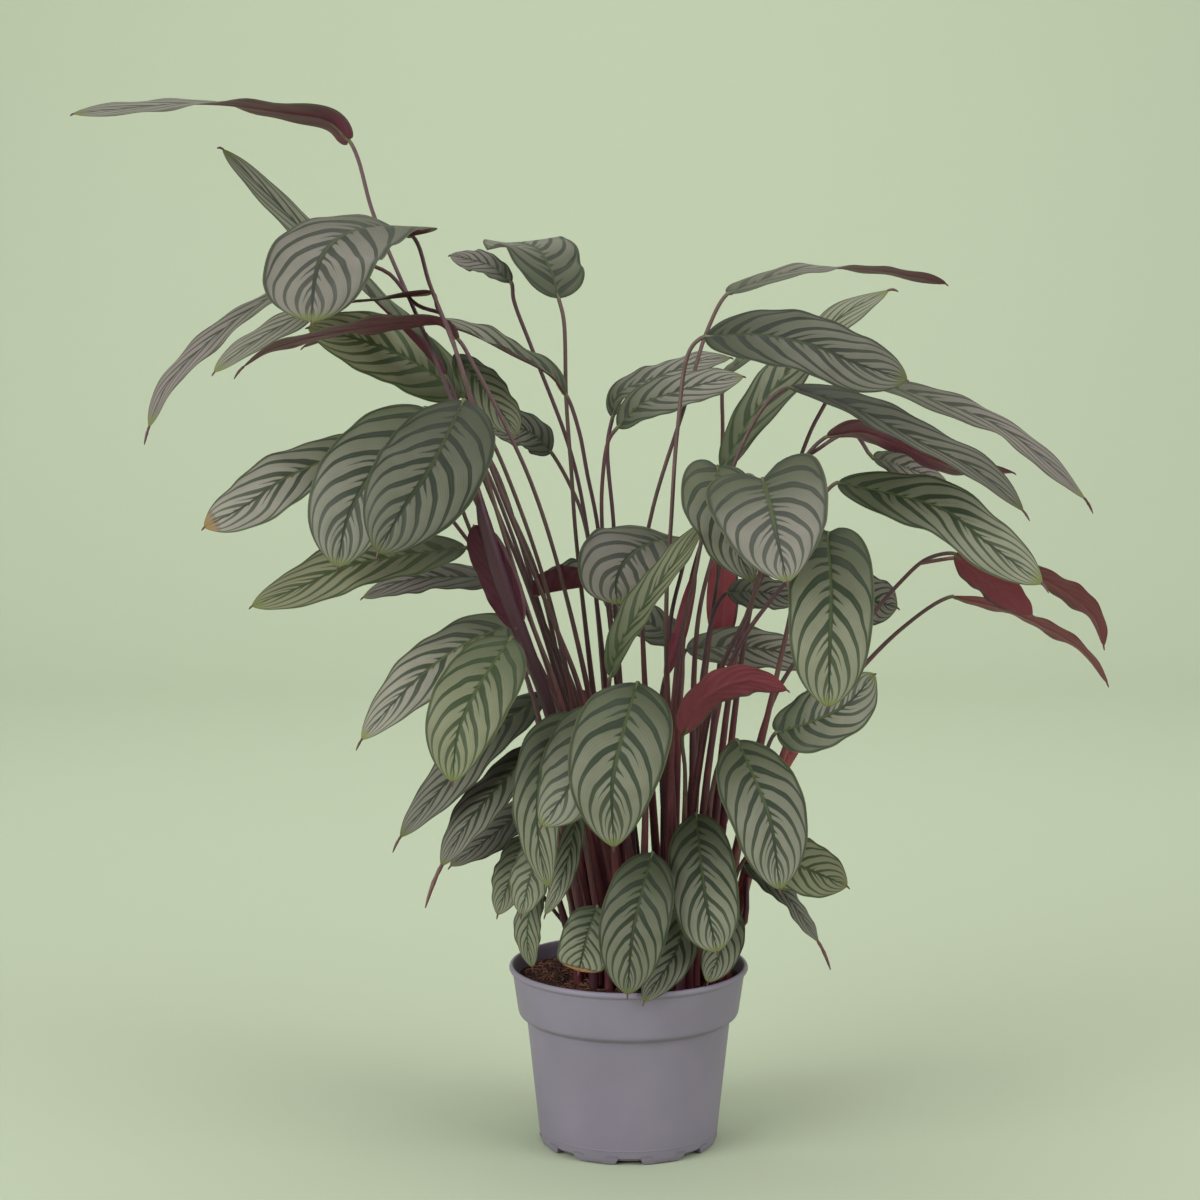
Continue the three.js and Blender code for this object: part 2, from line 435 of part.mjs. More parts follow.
// A leaf in one skin: its stem, which opens out into the blade's first row, and the blade
function leafSolid(leaf, rib, rings) {
  const { points, triangles, side } = barSkin(rings);
  const stemEnd = points.length - stemSides;
  const first = points.length;
  const count = rowsByWidth.find(([widest]) => leaf.half <= widest)[1];
  const rows = [];
  for (let k = 0; k < count; k += 1) {
    rows.push(THREE.MathUtils.lerp(firstRow, lastRow, k / (count - 1)));
  }
  const columns = bladeColumns.length;
  const index = (face, row, column) => {
    if (row === rows.length) return first + rows.length * columns * 2 + face;
    return first + (row * columns + column) * 2 + face;
  };
  const nudge = 0.01;
  for (const row of [...rows, 1]) {
    for (const s of row === 1 ? [0] : bladeColumns) {
      const t = Math.min(row, 1 - nudge);
      const lengthwise = bladePoint(leaf, rib, t + nudge, s).sub(bladePoint(leaf, rib, t - nudge, s));
      const crosswise = bladePoint(leaf, rib, t, Math.min(s + 0.1, 1));
      crosswise.sub(bladePoint(leaf, rib, t, Math.max(s - 0.1, -1)));
      const normal = crosswise.cross(lengthwise).normalize().multiplyScalar(bladeThickness / 2);
      const middle = bladePoint(leaf, rib, row, s);
      points.push(middle.clone().add(normal), middle.sub(normal));
    }
  }
  const face = (...corners) => {
    if (new Set(corners.map(([r, k]) => index(0, r, k))).size < 3) return;
    triangles.push(corners.map(([r, k]) => index(0, r, k)));
    triangles.push(corners.reverse().map(([r, k]) => index(1, r, k)));
  };
  const edge = (a, b, c, d) => triangles.push([a, b, c], [a, c, d]);
  for (let row = 0; row < rows.length; row += 1) {
    for (let column = 0; column < columns - 1; column += 1) {
      face([row, column], [row, column + 1], [row + 1, column + 1]);
      face([row, column], [row + 1, column + 1], [row + 1, column]);
    }
    const end = columns - 1;
    edge(index(0, row, 0), index(0, row + 1, 0), index(1, row + 1, 0), index(1, row, 0));
    edge(index(1, row, end), index(1, row + 1, end), index(0, row + 1, end), index(0, row, end));
  }
  // The stem's last ring and the blade's first row, both read around from the upper side's middle
  const { out, across } = ribFrame(rib, leaf.turn, 0);
  const offset = Math.atan2(side.dot(across), side.dot(out));
  const circle = 2 * Math.PI;
  const byAngle = (list) => list.sort((a, b) => a.angle - b.angle);
  const ring = [];
  for (let k = 0; k < stemSides; k += 1) {
    const angle = (offset + (circle * k) / stemSides + 2 * circle) % circle;
    ring.push({ index: stemEnd + k, angle });
  }
  const row = [];
  for (let k = 0; k < columns; k += 1) {
    const step = (k - (columns - 1) / 2) * (circle / columns / 2);
    row.push({ index: index(0, 0, k), angle: (step + circle) % circle });
    row.push({ index: index(1, 0, k), angle: circle / 2 - step });
  }
  triangles.push(...bandBetween(byAngle(ring), byAngle(row)));
  return solidFrom(points, triangles);
}

// The foot's place in the soil, on staggered rows
function footPlace([column, row]) {
  const stagger = row % 2 === 0 ? 0 : footStagger;
  return new THREE.Vector2(footShift + footPitch * column + stagger, footRowPitch * row);
}

// The stem's rings: straight up out of the soil, along its route, and up to the blade's base
function stemRingsOf(entry, rib, carrier) {
  const via = [...entry.stem].reverse();
  const points = via.map(seen);
  const radii = via.map((p) => p[3]);
  const rings = [];
  if (entry.foot) {
    const foot = footPlace(entry.foot);
    const up = new THREE.Vector3(0, 0, 1);
    const low = new THREE.Vector3(foot.x, foot.y, soilTop - stemDepth);
    rings.push({ at: low, along: up, radius: footRadius });
    points.unshift(new THREE.Vector3(foot.x, foot.y, soilTop + stemStraight));
    radii.unshift(footRadius);
  } else {
    points.unshift(carrier.getPointAt(entry.joins));
    radii.unshift(undefined);
  }
  const ends = points.length - (rib ? 0 : 1);
  if (rib) points.push(rib.getPointAt(0), rib.getPointAt(0.15));
  const path = route(points);
  const spans = points.length - 1;
  let whole = 0;
  for (let k = 1; k <= ends; k += 1) whole += points[k].distanceTo(points[k - 1]);
  const squeeze = Math.min(1, whole / sheathedLength);
  const usualRadius = (at) => {
    if (!entry.foot) return petioleRadius;
    const height = path.getPoint(at / spans).distanceTo(points[0]) / squeeze;
    const next = sheathTaper.findIndex(([far]) => far > height);
    if (next < 0) return petioleRadius;
    const [low, high] = [sheathTaper[next - 1], sheathTaper[next]];
    return THREE.MathUtils.mapLinear(height, low[0], high[0], low[1], high[1]);
  };
  // A ring at each point of the route, and one between where they lie far apart or it bends over
  for (let span = 0; span <= ends; span += 1) {
    const long = span > 0 && points[span].distanceTo(points[span - 1]) > ringPitch;
    const bend = rib && span === ends;
    for (const part of long || bend ? [0.5, 0] : [0]) {
      const at = span - part;
      const upright = span === 0 && entry.foot;
      const along = upright ? new THREE.Vector3(0, 0, 1) : path.getTangent(at / spans);
      const radius = radii[Math.round(at)] ?? usualRadius(at);
      rings.push({ at: path.getPoint(at / spans), along, radius });
    }
  }
  return { rings, path };
}

function plantSolids() {
  const solids = new Map();
  const carriers = new Map();
  for (const entry of [...leaves, ...spears]) {
    const rib = entry.rib ? route(entry.rib.map(seen)) : null;
    const { rings, path } = stemRingsOf(entry, rib, carriers.get(entry.node));
    if (entry.foot) carriers.set(entry.node, path);
    const solid = rib ? leafSolid(entry, rib, rings) : barSolid(rings);
    const before = solids.get(entry.node);
    solids.set(entry.node, before ? before.add(solid) : solid);
  }
  return solids;
}

// Pot: a thin moulded wall with a stepped collar, a rolled rim and notches round its foot
function potSolid() {
  const bodyTop = [82.7, 103];
  const collarFoot = [89.7, 109.5];
  const collarTop = [94.3, 141.6];
  const outline = [
    [0, 0], [baseRadius - 3.5, 0], [baseRadius - 0.9, 1.2], [baseRadius + 0.3, 4], bodyTop,
    [88.7, 106.6], collarFoot, collarTop, [96.5, 142.3], [rimRadius, 144.4],
    [95.8, potHeight], [93.8, 146.6], [92.8, 143.4],
    [collarFoot[0] - wall, collarFoot[1] + 1], [bodyTop[0] - wall, bodyTop[1] + 2],
    [baseRadius - wall + 0.4, floorThickness + 3], [baseRadius - wall - 1.2, floorThickness],
    [0, floorThickness],
  ];
  const profile = outline.map(([radius, height]) => new THREE.Vector2(radius, height));
  let pot = solidFromGeometry(new THREE.LatheGeometry(profile, potSides).rotateX(Math.PI / 2));
  for (let i = 0; i < notchCount; i += 1) {
    const notch = new THREE.BoxGeometry(notchWidth, notchDepth, 2 * notchHeight);
    notch.translate(0, -baseRadius, 0);
    notch.rotateZ((2 * Math.PI * i) / notchCount);
    pot = pot.subtract(solidFromGeometry(notch));
  }
  return pot;
}

// Soil: fills the pot to just under the collar's top, with a low uneven mound and the stems' holes
function soilSolid() {
  const low = floorThickness + seatGap;
  const outline = [
    [0, low], [baseRadius - wall - 2.2, low], [baseRadius - wall - 0.2, low + 3.5],
    [82.7 - wall - seatGap, 105.2], [89.7 - wall - seatGap - 0.3, 111.5],
    [soilRadius, soilTop - 3], [80, soilTop - 1], [56, soilTop], [28, soilTop + 1], [0, soilTop + 1],
  ];
  const profile = outline.map(([radius, height]) => new THREE.Vector2(radius, height));
  const geometry = new THREE.LatheGeometry(profile, potSides).rotateX(Math.PI / 2);
  const place = geometry.attributes.position;
  for (let i = 0; i < place.count; i += 1) {
    if (place.getZ(i) > soilTop - 2) {
      const [x, y] = [place.getX(i), place.getY(i)];
      const inner = 1 - Math.hypot(x, y) / soilRadius;
      const rough = Math.sin(x * 0.11) * Math.cos(y * 0.13) + 0.5 * Math.sin(y * 0.23 + x * 0.17);
      place.setZ(i, place.getZ(i) + inner * soilMound * (0.5 + rough));
    }
  }
  let soil = solidFromGeometry(geometry);
  for (const { foot } of [...leaves, ...spears].filter((entry) => entry.foot)) {
    const at = footPlace(foot);
    const up = new THREE.Vector3(0, 0, 1);
    const radius = footRadius + seatGap / Math.cos(Math.PI / stemSides);
    const low = new THREE.Vector3(at.x, at.y, soilTop - stemDepth - seatGap);
    const high = new THREE.Vector3(at.x, at.y, soilTop + 2 * stemStraight);
    const hole = barSolid([{ at: low, along: up, radius }, { at: high, along: up, radius }]);
    soil = soil.subtract(hole);
  }
  return soil;
}

const plant = new THREE.Group();
plant.add(meshFrom(potSolid(), "pot", 0x82808a, 0.55));
plant.add(meshFrom(soilSolid(), "soil", 0x2e211b, 0.95));
for (const [name, solid] of plantSolids()) {
  plant.add(meshFrom(solid, name, 0x6f7c5e, 0.6));
}

export default plant;
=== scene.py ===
from math import cos, pi, radians, sin

import bmesh
import bpy
import numpy as np
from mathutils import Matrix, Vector


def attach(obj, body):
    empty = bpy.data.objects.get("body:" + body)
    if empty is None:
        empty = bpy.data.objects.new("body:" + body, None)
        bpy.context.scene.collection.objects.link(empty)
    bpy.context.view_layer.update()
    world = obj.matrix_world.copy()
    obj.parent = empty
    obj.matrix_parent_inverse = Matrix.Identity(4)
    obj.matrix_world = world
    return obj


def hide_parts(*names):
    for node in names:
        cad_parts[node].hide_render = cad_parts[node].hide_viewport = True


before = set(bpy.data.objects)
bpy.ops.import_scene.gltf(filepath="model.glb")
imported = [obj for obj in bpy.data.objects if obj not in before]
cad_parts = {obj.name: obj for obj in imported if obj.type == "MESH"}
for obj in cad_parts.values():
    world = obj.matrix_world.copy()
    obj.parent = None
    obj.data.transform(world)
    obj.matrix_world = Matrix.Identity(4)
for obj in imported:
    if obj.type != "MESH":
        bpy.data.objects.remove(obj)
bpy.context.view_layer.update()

mm = 0.001

# Camera: places in the tables below are given as this camera sees them, so it comes first
view = dict(
    eye=(-23.2, -2200, 710),  # mm
    lookDown=6.9,             # degrees
    across=960,               # mm seen on the upright plane through the pot's axis
    sensor=36,                # mm
)
eye = np.array(view["eye"], float)
dip = radians(view["lookDown"])
forward = np.array([0, cos(dip), -sin(dip)])
upward = np.array([0, sin(dip), cos(dip)])
reach = -eye[1] / forward[1]


def seen(places):
    # right, up and depth, as seen, to real places; a fourth number is dropped
    rays = []
    for right, up, depth in (place[:3] for place in places):
        ray = forward * reach + upward * up + np.array([right, 0, 0])
        rays.append(eye + ray * (depth - eye[1]) / ray[1])
    return np.array(rays)


def addToScene(piece):
    bpy.context.scene.collection.objects.link(piece)
    return piece


def addCamera():
    lens = bpy.data.cameras.new("camera")
    lens.sensor_width = view["sensor"]
    lens.lens = view["sensor"] * reach / view["across"]
    lens.clip_end = 20
    camera = addToScene(bpy.data.objects.new("camera", lens))
    camera.location = Vector(eye) * mm
    camera.rotation_euler = (radians(90) - dip, 0, 0)
    bpy.context.scene.camera = camera
    print("camera set")


addCamera()


def pick(sockets, key):
    # by number or by name, among those in use
    live = [socket for socket in sockets if socket.enabled]
    return live[key] if isinstance(key, int) else next(s for s in live if s.name == key)


# Node trees written as plain expressions
class Wire:
    def __init__(self, tree, socket=None):
        self.tree = tree
        self.socket = socket

    def make(self, kind, settings=None, sockets=None, out=0):
        node = self.tree.nodes.new(kind)
        for name, value in (settings or {}).items():
            setattr(node, name, value)
        for name, value in (sockets or {}).items():
            socket = pick(node.inputs, name)
            for one in value if isinstance(value, list) else [value]:
                if isinstance(one, Wire):
                    self.tree.links.new(one.socket, socket)
                elif one is not None:
                    socket.default_value = one
        return Wire(self.tree, pick(node.outputs, out))

    def finish(self):
        # ends a Geometry Nodes tree
        self.tree.links.new(self.socket, self.tree.nodes.new("NodeGroupOutput").inputs[0])

    def attribute(self, name, out="Fac"):
        return self.make("ShaderNodeAttribute", {"attribute_name": name}, out=out)

    def objectPlace(self):
        return self.make("ShaderNodeTexCoord", out="Object")

    def combine(self, x, y, z):
        return self.make("ShaderNodeCombineXYZ", sockets={"X": x, "Y": y, "Z": z})

    def noise(self, scale, detail, out="Fac", **more):
        # read at this wire's places
        return self.make("ShaderNodeTexNoise", {"noise_dimensions": "3D"},
                         {"Vector": self, "Scale": scale, "Detail": detail, **more}, out=out)

    def bump(self, strength, distance):
        return self.make("ShaderNodeBump",
                         sockets={"Strength": strength, "Distance": distance, "Height": self})

    def isVector(self):
        return self.socket.type in ("VECTOR", "RGBA")

    def math(self, how, *values):
        if any(isinstance(v, Wire) and v.isVector() for v in values):
            if how == "MULTIPLY":
                first, second = values if values[0].isVector() else values[::-1]
                return self.make("ShaderNodeVectorMath", {"operation": "SCALE"}, {0: first, 1: second})
            return self.make("ShaderNodeVectorMath", {"operation": how}, dict(enumerate(values)))
        return self.make("ShaderNodeMath", {"operation": how}, dict(enumerate(values)))

    def __add__(self, other):
        return self.math("ADD", self, other)

    def __radd__(self, other):
        return self.math("ADD", other, self)

    def __sub__(self, other):
        return self.math("SUBTRACT", self, other)

    def __rsub__(self, other):
        return self.math("SUBTRACT", other, self)

    def __mul__(self, other):
        return self.math("MULTIPLY", self, other)

    def __rmul__(self, other):
        return self.math("MULTIPLY", self, other)

    def __truediv__(self, other):
        return self.math("DIVIDE", self, other)

    def __pow__(self, other):
        return self.math("POWER", self, other)

    def __neg__(self):
        return self.math("MULTIPLY", self, -1.0)

    def least(self, other):
        return self.math("MINIMUM", self, other)

    def most(self, other):
        return self.math("MAXIMUM", self, other)

    def over(self, other):
        return self.math("GREATER_THAN", self, other)

    def size(self):
        return self.math("ABSOLUTE", self)

    def floor(self):
        return self.math("FLOOR", self)

    def part(self):
        return self.math("FRACT", self)

    def sine(self):
        return self.math("SINE", self)

    def cosine(self):
        return self.math("COSINE", self)

    def side(self):
        return self.math("SIGN", self)

    def rise(self, low, high):
        # 0 at low and 1 at high, with soft ends
        return self.make("ShaderNodeMapRange", {"interpolation_type": "SMOOTHSTEP"},
                         {"Value": self, "From Min": low, "From Max": high})

    def split(self):
        return [self.make("ShaderNodeSeparateXYZ", sockets={0: self}, out=k) for k in range(3)]

    def mix(self, low, high):
        # this wire is the share of high
        return self.make("ShaderNodeMix", {"data_type": "RGBA"}, {"Factor": self, "A": low, "B": high})


def color(red, green, blue):
    # 0 to 255, as read off a screen, to the renderer's own light values
    light = [c / 255 / 12.92 if c < 10.3 else ((c / 255 + 0.055) / 1.055) ** 2.4 for c in (red, green, blue)]
    return (*light, 1)


def newMaterial(name, **fixed):
    material = bpy.data.materials.new(name)
    material.use_nodes = True
    shader = material.node_tree.nodes["Principled BSDF"]
    for socket, value in fixed.items():
        shader.inputs[socket.replace("_", " ")].default_value = value
    return material, shader, Wire(material.node_tree)


def feed(shader, paint, rough, normal=None):
    for name, wire in (("Base Color", paint), ("Roughness", rough), ("Normal", normal)):
        if wire:
            wire.tree.links.new(wire.socket, shader.inputs[name])


def startTree(name, takes, gives, sizes):
    # a Geometry Nodes tree with a named input for each size
    tree = bpy.data.node_groups.new(name, "GeometryNodeTree")
    face = tree.interface
    face.new_socket(takes, in_out="INPUT", socket_type="NodeSocketGeometry")
    keys = {}
    for label, value in sizes.items():
        kind = "NodeSocketInt" if isinstance(value, int) else "NodeSocketFloat"
        keys[label] = face.new_socket(label, in_out="INPUT", socket_type=kind).identifier
    face.new_socket(gives, in_out="OUTPUT", socket_type="NodeSocketGeometry")
    given = tree.nodes.new("NodeGroupInput")
    return Wire(tree), {s.name: Wire(tree, s) for s in given.outputs if s.name}, keys


def grown(name, mesh, wire, sizes, keys):
    # runs a tree on a mesh and keeps the plain result
    holder = addToScene(bpy.data.objects.new(name + " lines", mesh))
    modifier = holder.modifiers.new("grow", "NODES")
    modifier.node_group = wire.tree
    for label, value in sizes.items():
        modifier[keys[label]] = value
    bpy.context.view_layer.update()
    plain = bpy.data.meshes.new_from_object(holder.evaluated_get(bpy.context.evaluated_depsgraph_get()))
    plain.name = name
    bpy.data.objects.remove(holder)
    bpy.data.meshes.remove(mesh)
    return addToScene(bpy.data.objects.new(name, plain))


# Leaf finishes
marks = dict(
    bands=6.5, moreBands=1.4,   # long dark bands on each half, and how many more by chance
    bandWidth=0.20,             # half width of a band at the midrib, as a share of the pitch
    streakWidth=0.12,           # the same for the short streaks between the bands
    streaks=(0.10, 0.42),       # how far they reach, midrib to edge, and how much farther by chance
    slant=(0.06, 0.34),         # how far a band sweeps towards the tip, and how much more near the tip
    hook=(0.07, 0.06),          # how much more it bends from half way out, and right at the edge
    tighten=0.10,               # how much closer the bands lie near the tip
    drift=0.35,                 # how unevenly the bands are spaced
    soft=0.035,                 # softness of a band's sides
    veins=44,                   # fine veins to a band
    margin=(0.89, 0.955),       # where the dark edge begins and is full, 0 midrib to 1 edge
    edgeLine=(0.962, 0.985),    # the same for the thin olive line along it
    midrib=0.034,
    baseTintAndShadeTo=0.7, baseTintAndShadeShare=0.85, # how far from its base a blade is darker, and how much: its own deeper green with painted shade
    tipFrom=(0.925, 0.99),      # where the olive tip begins and is full, 0 base to 1 tip
    dryFrom=(0.965, 0.985),     # the same for a dry end, and for the brown line before it
    dryEdge=(0.945, 0.962),
    relief=(0.55, 0.0006),      # strength and height of the quilted surface, m
    paintedShadeDepth=0.45,                # how much painted shade a dark share of 1 gives
    ground=color(115, 119, 99),
    groundPale=color(142, 144, 125),
    # the pink ground and pink band colours are painted sheen: the pinkish grey of blades seen at a grazing
    # angle
    groundSheenPink=color(130, 118, 116),
    groundYellow=color(124, 132, 76),
    groundBase=color(72, 82, 54),
    band=color(45, 57, 41),
    bandSheenPink=color(62, 61, 54),
    bandYellow=color(66, 84, 35),
    bandCore=color(80, 88, 66),
    rib=color(70, 82, 44),
    edge=color(92, 100, 58),
    tip=color(110, 120, 62),
    scorch=color(150, 112, 72),
    scorchEdge=color(92, 62, 40),
    under=color(108, 52, 68),
    underBand=color(86, 42, 56),
    underBlush=color(152, 76, 80),
    underRib=color(126, 66, 74),
    underEdge=color(96, 84, 56),
)
stalk = dict(
    petiole=color(86, 58, 64),
    petioleOlive=color(100, 80, 68),
    petioleTop=color(92, 100, 56),
    sheath=color(112, 55, 61),
    sheathDark=color(66, 35, 45),
    sheathBright=color(152, 72, 66),
    grain=(620.0, 620.0, 9.0),  # streaks to the metre, across and along
)


def leafReadings(wire):
    # across -1 to 1 and along 0 to 1 the blade, its seed and its tone
    across, along, _ = wire.make("ShaderNodeUVMap", {"uv_map": "bladeMap"}).split()
    return across * 2 - 1, along, wire.attribute("seed"), wire.attribute("tone", "Vector").split()


def bandPattern(wire, across, along, seed):
    # the veins leave the midrib, sweep towards the tip and end along the edge
    away = across.size()
    half = across.over(0.0)
    drift = wire.combine(across * 1.2, along * 4, seed * 37).noise(1.6, 1.0) - 0.5
    slant, moreSlant = marks["slant"]
    hook, edgeHook = marks["hook"]
    start = along - (away * (slant + along * moreSlant) + away ** 3.0 * hook + away ** 9.0 * edgeHook)
    tight = start + start * start * marks["tighten"]
    phase = tight * (marks["bands"] + seed * marks["moreBands"]) + half * (0.3 + seed * 0.4)
    phase = phase + seed * 5 + drift * marks["drift"]
    aside = (phase.part() - 0.5).size()

    def chance(count, salt):
        key = wire.combine(count + salt, half * 7 + salt, seed * 91)
        return wire.make("ShaderNodeTexWhiteNoise", {"noise_dimensions": "3D"}, {"Vector": key}, out="Value")

    luck = chance(phase.floor(), 0.5)
    width = marks["bandWidth"] * (1 - away * 0.3 - away * luck * 0.2) * (0.85 + luck * 0.3)
    soft = marks["soft"]
    band = 1 - aside.rise(width - soft, width + soft)
    between = chance((phase + 0.5).floor(), 3.5)
    shortest, farther = marks["streaks"]
    length = shortest + between * between * farther
    streakWidth = marks["streakWidth"] * (1 - away / length).most(0.0)
    gap = 0.5 - aside
    streak = (1 - gap.rise(streakWidth - 0.03, streakWidth + 0.03)) * (length - away).rise(-0.01, 0.03)
    veins = (phase * marks["veins"]).sine() * 0.5 + 0.5
    core = 1 - aside.rise(0.0, width * 0.7)
    return away, band.most(streak), core, veins, aside


def leafUpperFinish():
    material, shader, wire = newMaterial("leaf, striped upper side", Sheen_Weight=0.05, Sheen_Roughness=0.45,
                                         Sheen_Tint=color(225, 212, 215), Specular_IOR_Level=0.26)
    across, along, seed, tone = leafReadings(wire)
    yellow, sheenPink, dark = tone
    away, band, core, veins, aside = bandPattern(wire, across, along, seed)
    cloudy = wire.objectPlace().noise(55.0, 3.0)
    # The pale ground, darker towards the base: partly the blade's own deeper green and partly painted shade
    # near the crown
    ground = (cloudy * 1.3 - 0.5 + along * 0.7).mix(marks["ground"], marks["groundPale"])
    # painted sheen: the pink share turns the ground pinkish grey, as blades seen at a grazing angle look
    ground = (sheenPink * 0.9).mix(ground, marks["groundSheenPink"])
    ground = (yellow * (0.55 + along * 0.5)).least(1.0).mix(ground, marks["groundYellow"])
    ground = (veins * 0.16).mix(ground, marks["band"])
    # painted shade with the blade's own deeper green: darker towards the base, and a little towards the edge
    baseTintAndShade = (1 - along.rise(0.0, marks["baseTintAndShadeTo"])) * marks["baseTintAndShadeShare"] + away ** 6.0 * 0.25
    ground = baseTintAndShade.mix(ground, marks["groundBase"])
    # The dark bands, some with a lighter core
    # the same painted sheen on the bands
    stripe = (sheenPink * 0.8).mix(marks["band"], marks["bandSheenPink"])
    stripe = (yellow * 0.8).mix(stripe, marks["bandYellow"])
    stripe = (core * (cloudy * 1.6 - 0.4) * away.rise(0.1, 0.4) * 0.6).mix(stripe, marks["bandCore"])
    edge = away.rise(*marks["margin"])
    root = 1 - along.rise(0.0, 0.07)
    band = band * (1 - along.rise(0.4, 1.0) * 0.25)
    paint = band.most(edge * 0.9).most(root * 0.85).mix(ground, stripe)
    # The midrib, the thin olive margin and the tip
    ribReach = marks["midrib"] * (1.5 - along)
    besideRib = 1 - away.rise(ribReach * 1.2, ribReach * 2.2)
    paint = (besideRib * along.rise(0.25, 0.6)).mix(paint, stripe)
    rib = 1 - away.rise(ribReach * 0.6, ribReach * 1.15)
    paint = (rib * (1 - along.rise(0.45, 0.85))).mix(paint, marks["rib"])
    paint = (away.rise(*marks["edgeLine"]) * 0.7).mix(paint, marks["edge"])
    paint = (along.rise(*marks["tipFrom"]) * 0.85).mix(paint, marks["tip"])
    # Dry ends on the leaves that have them
    scorch = wire.attribute("scorch")
    ragged = along + cloudy * 0.05
    dry = scorch * ragged.rise(*marks["dryFrom"])
    paint = dry.mix(paint, marks["scorch"])
    paint = (scorch * ragged.rise(*marks["dryEdge"]) * (1 - dry) * 0.8).mix(paint, marks["scorchEdge"])
    rough = 0.50 + cloudy * 0.10 - band * 0.06
    quilt = aside.rise(0.0, 0.5) * 0.7 + veins * 0.12 - rib * 0.8
    # the dark share darkens the paint as painted shade, leaf by leaf; a negative share lightens it as painted
    # light
    feed(shader, paint * (1 - dark * marks["paintedShadeDepth"]), rough, quilt.bump(*marks["relief"]))
    return material


def leafUnderFinish():
    material, shader, wire = newMaterial("leaf, purple underside", Specular_IOR_Level=0.16)
    across, along, seed, tone = leafReadings(wire)
    away, band, _, veins, aside = bandPattern(wire, across, along, seed)
    cloudy = wire.objectPlace().noise(40.0, 3.0)
    paint = (band * 0.5).mix(marks["under"], marks["underBand"])
    paint = (wire.attribute("blush") * (0.55 + cloudy * 0.5)).least(1.0).mix(paint, marks["underBlush"])
    paint = (veins * 0.15).mix(paint, marks["underBand"])
    paint = ((1 - away.rise(0.02, 0.05)) * 0.6).mix(paint, marks["underRib"])
    paint = (away.rise(0.94, 0.99) * 0.5).mix(paint, marks["underEdge"])
    quilt = aside.rise(0.0, 0.5) * -0.7 + veins * 0.1
    # dark is the upper side's painted shade, which turns to painted light where negative
    dark = tone[2]
    feed(shader, paint * (1 - dark * marks["paintedShadeDepth"]), 0.42 + cloudy * 0.12, quilt.bump(*marks["relief"]))
    return material


def stemFinish():
    material, shader, wire = newMaterial("petiole and sheath", Specular_IOR_Level=0.45)
    place = wire.objectPlace()
    seed, sheathed, blush = [wire.attribute(name) for name in ("seed", "sheathed", "blush")]
    grain = wire.make("ShaderNodeMapping", sockets={"Vector": place, "Scale": stalk["grain"]}).noise(1.0, 2.0)
    cloudy = place.noise(26.0, 2.0)
    petiole = (seed * cloudy * 1.6).least(1.0).mix(stalk["petiole"], stalk["petioleOlive"])
    sheath = (cloudy * 2.2 - 0.7 + seed * 0.4).rise(0.0, 1.0).mix(stalk["sheathDark"], stalk["sheath"])
    bright = (seed * 7.3).part() ** 3.0 * 0.6 + blush
    sheath = (bright * cloudy * 1.4).least(1.0).mix(sheath, stalk["sheathBright"])
    sheath = (-blush).mix(sheath, stalk["sheathDark"])
    # sheathed is 1 on a sheath, 0 on a petiole and -1 at the petiole's green upper end
    paint = sheathed.mix(petiole, sheath)
    paint = (-sheathed).mix(paint, stalk["petioleTop"])
    paint = (grain.rise(0.42, 0.62) * 0.35).mix(paint, stalk["sheathDark"])
    feed(shader, paint, 0.40 + grain * 0.16, grain.bump(0.5, 0.0004))
    return material


# Leaves, as the camera sees them
usualLeaf = dict(
    fold=6, flare=(0, 0), droop=-8, wave=1.6, lobe=(0, 0), broad=6, blunt=4.5,
    tone=(0, 0, 0), scorch=0, blush=0, hair=2,
)


def leaf(number, **values):
    return {**usualLeaf, "node": f"leaf_{number:02}", **values}
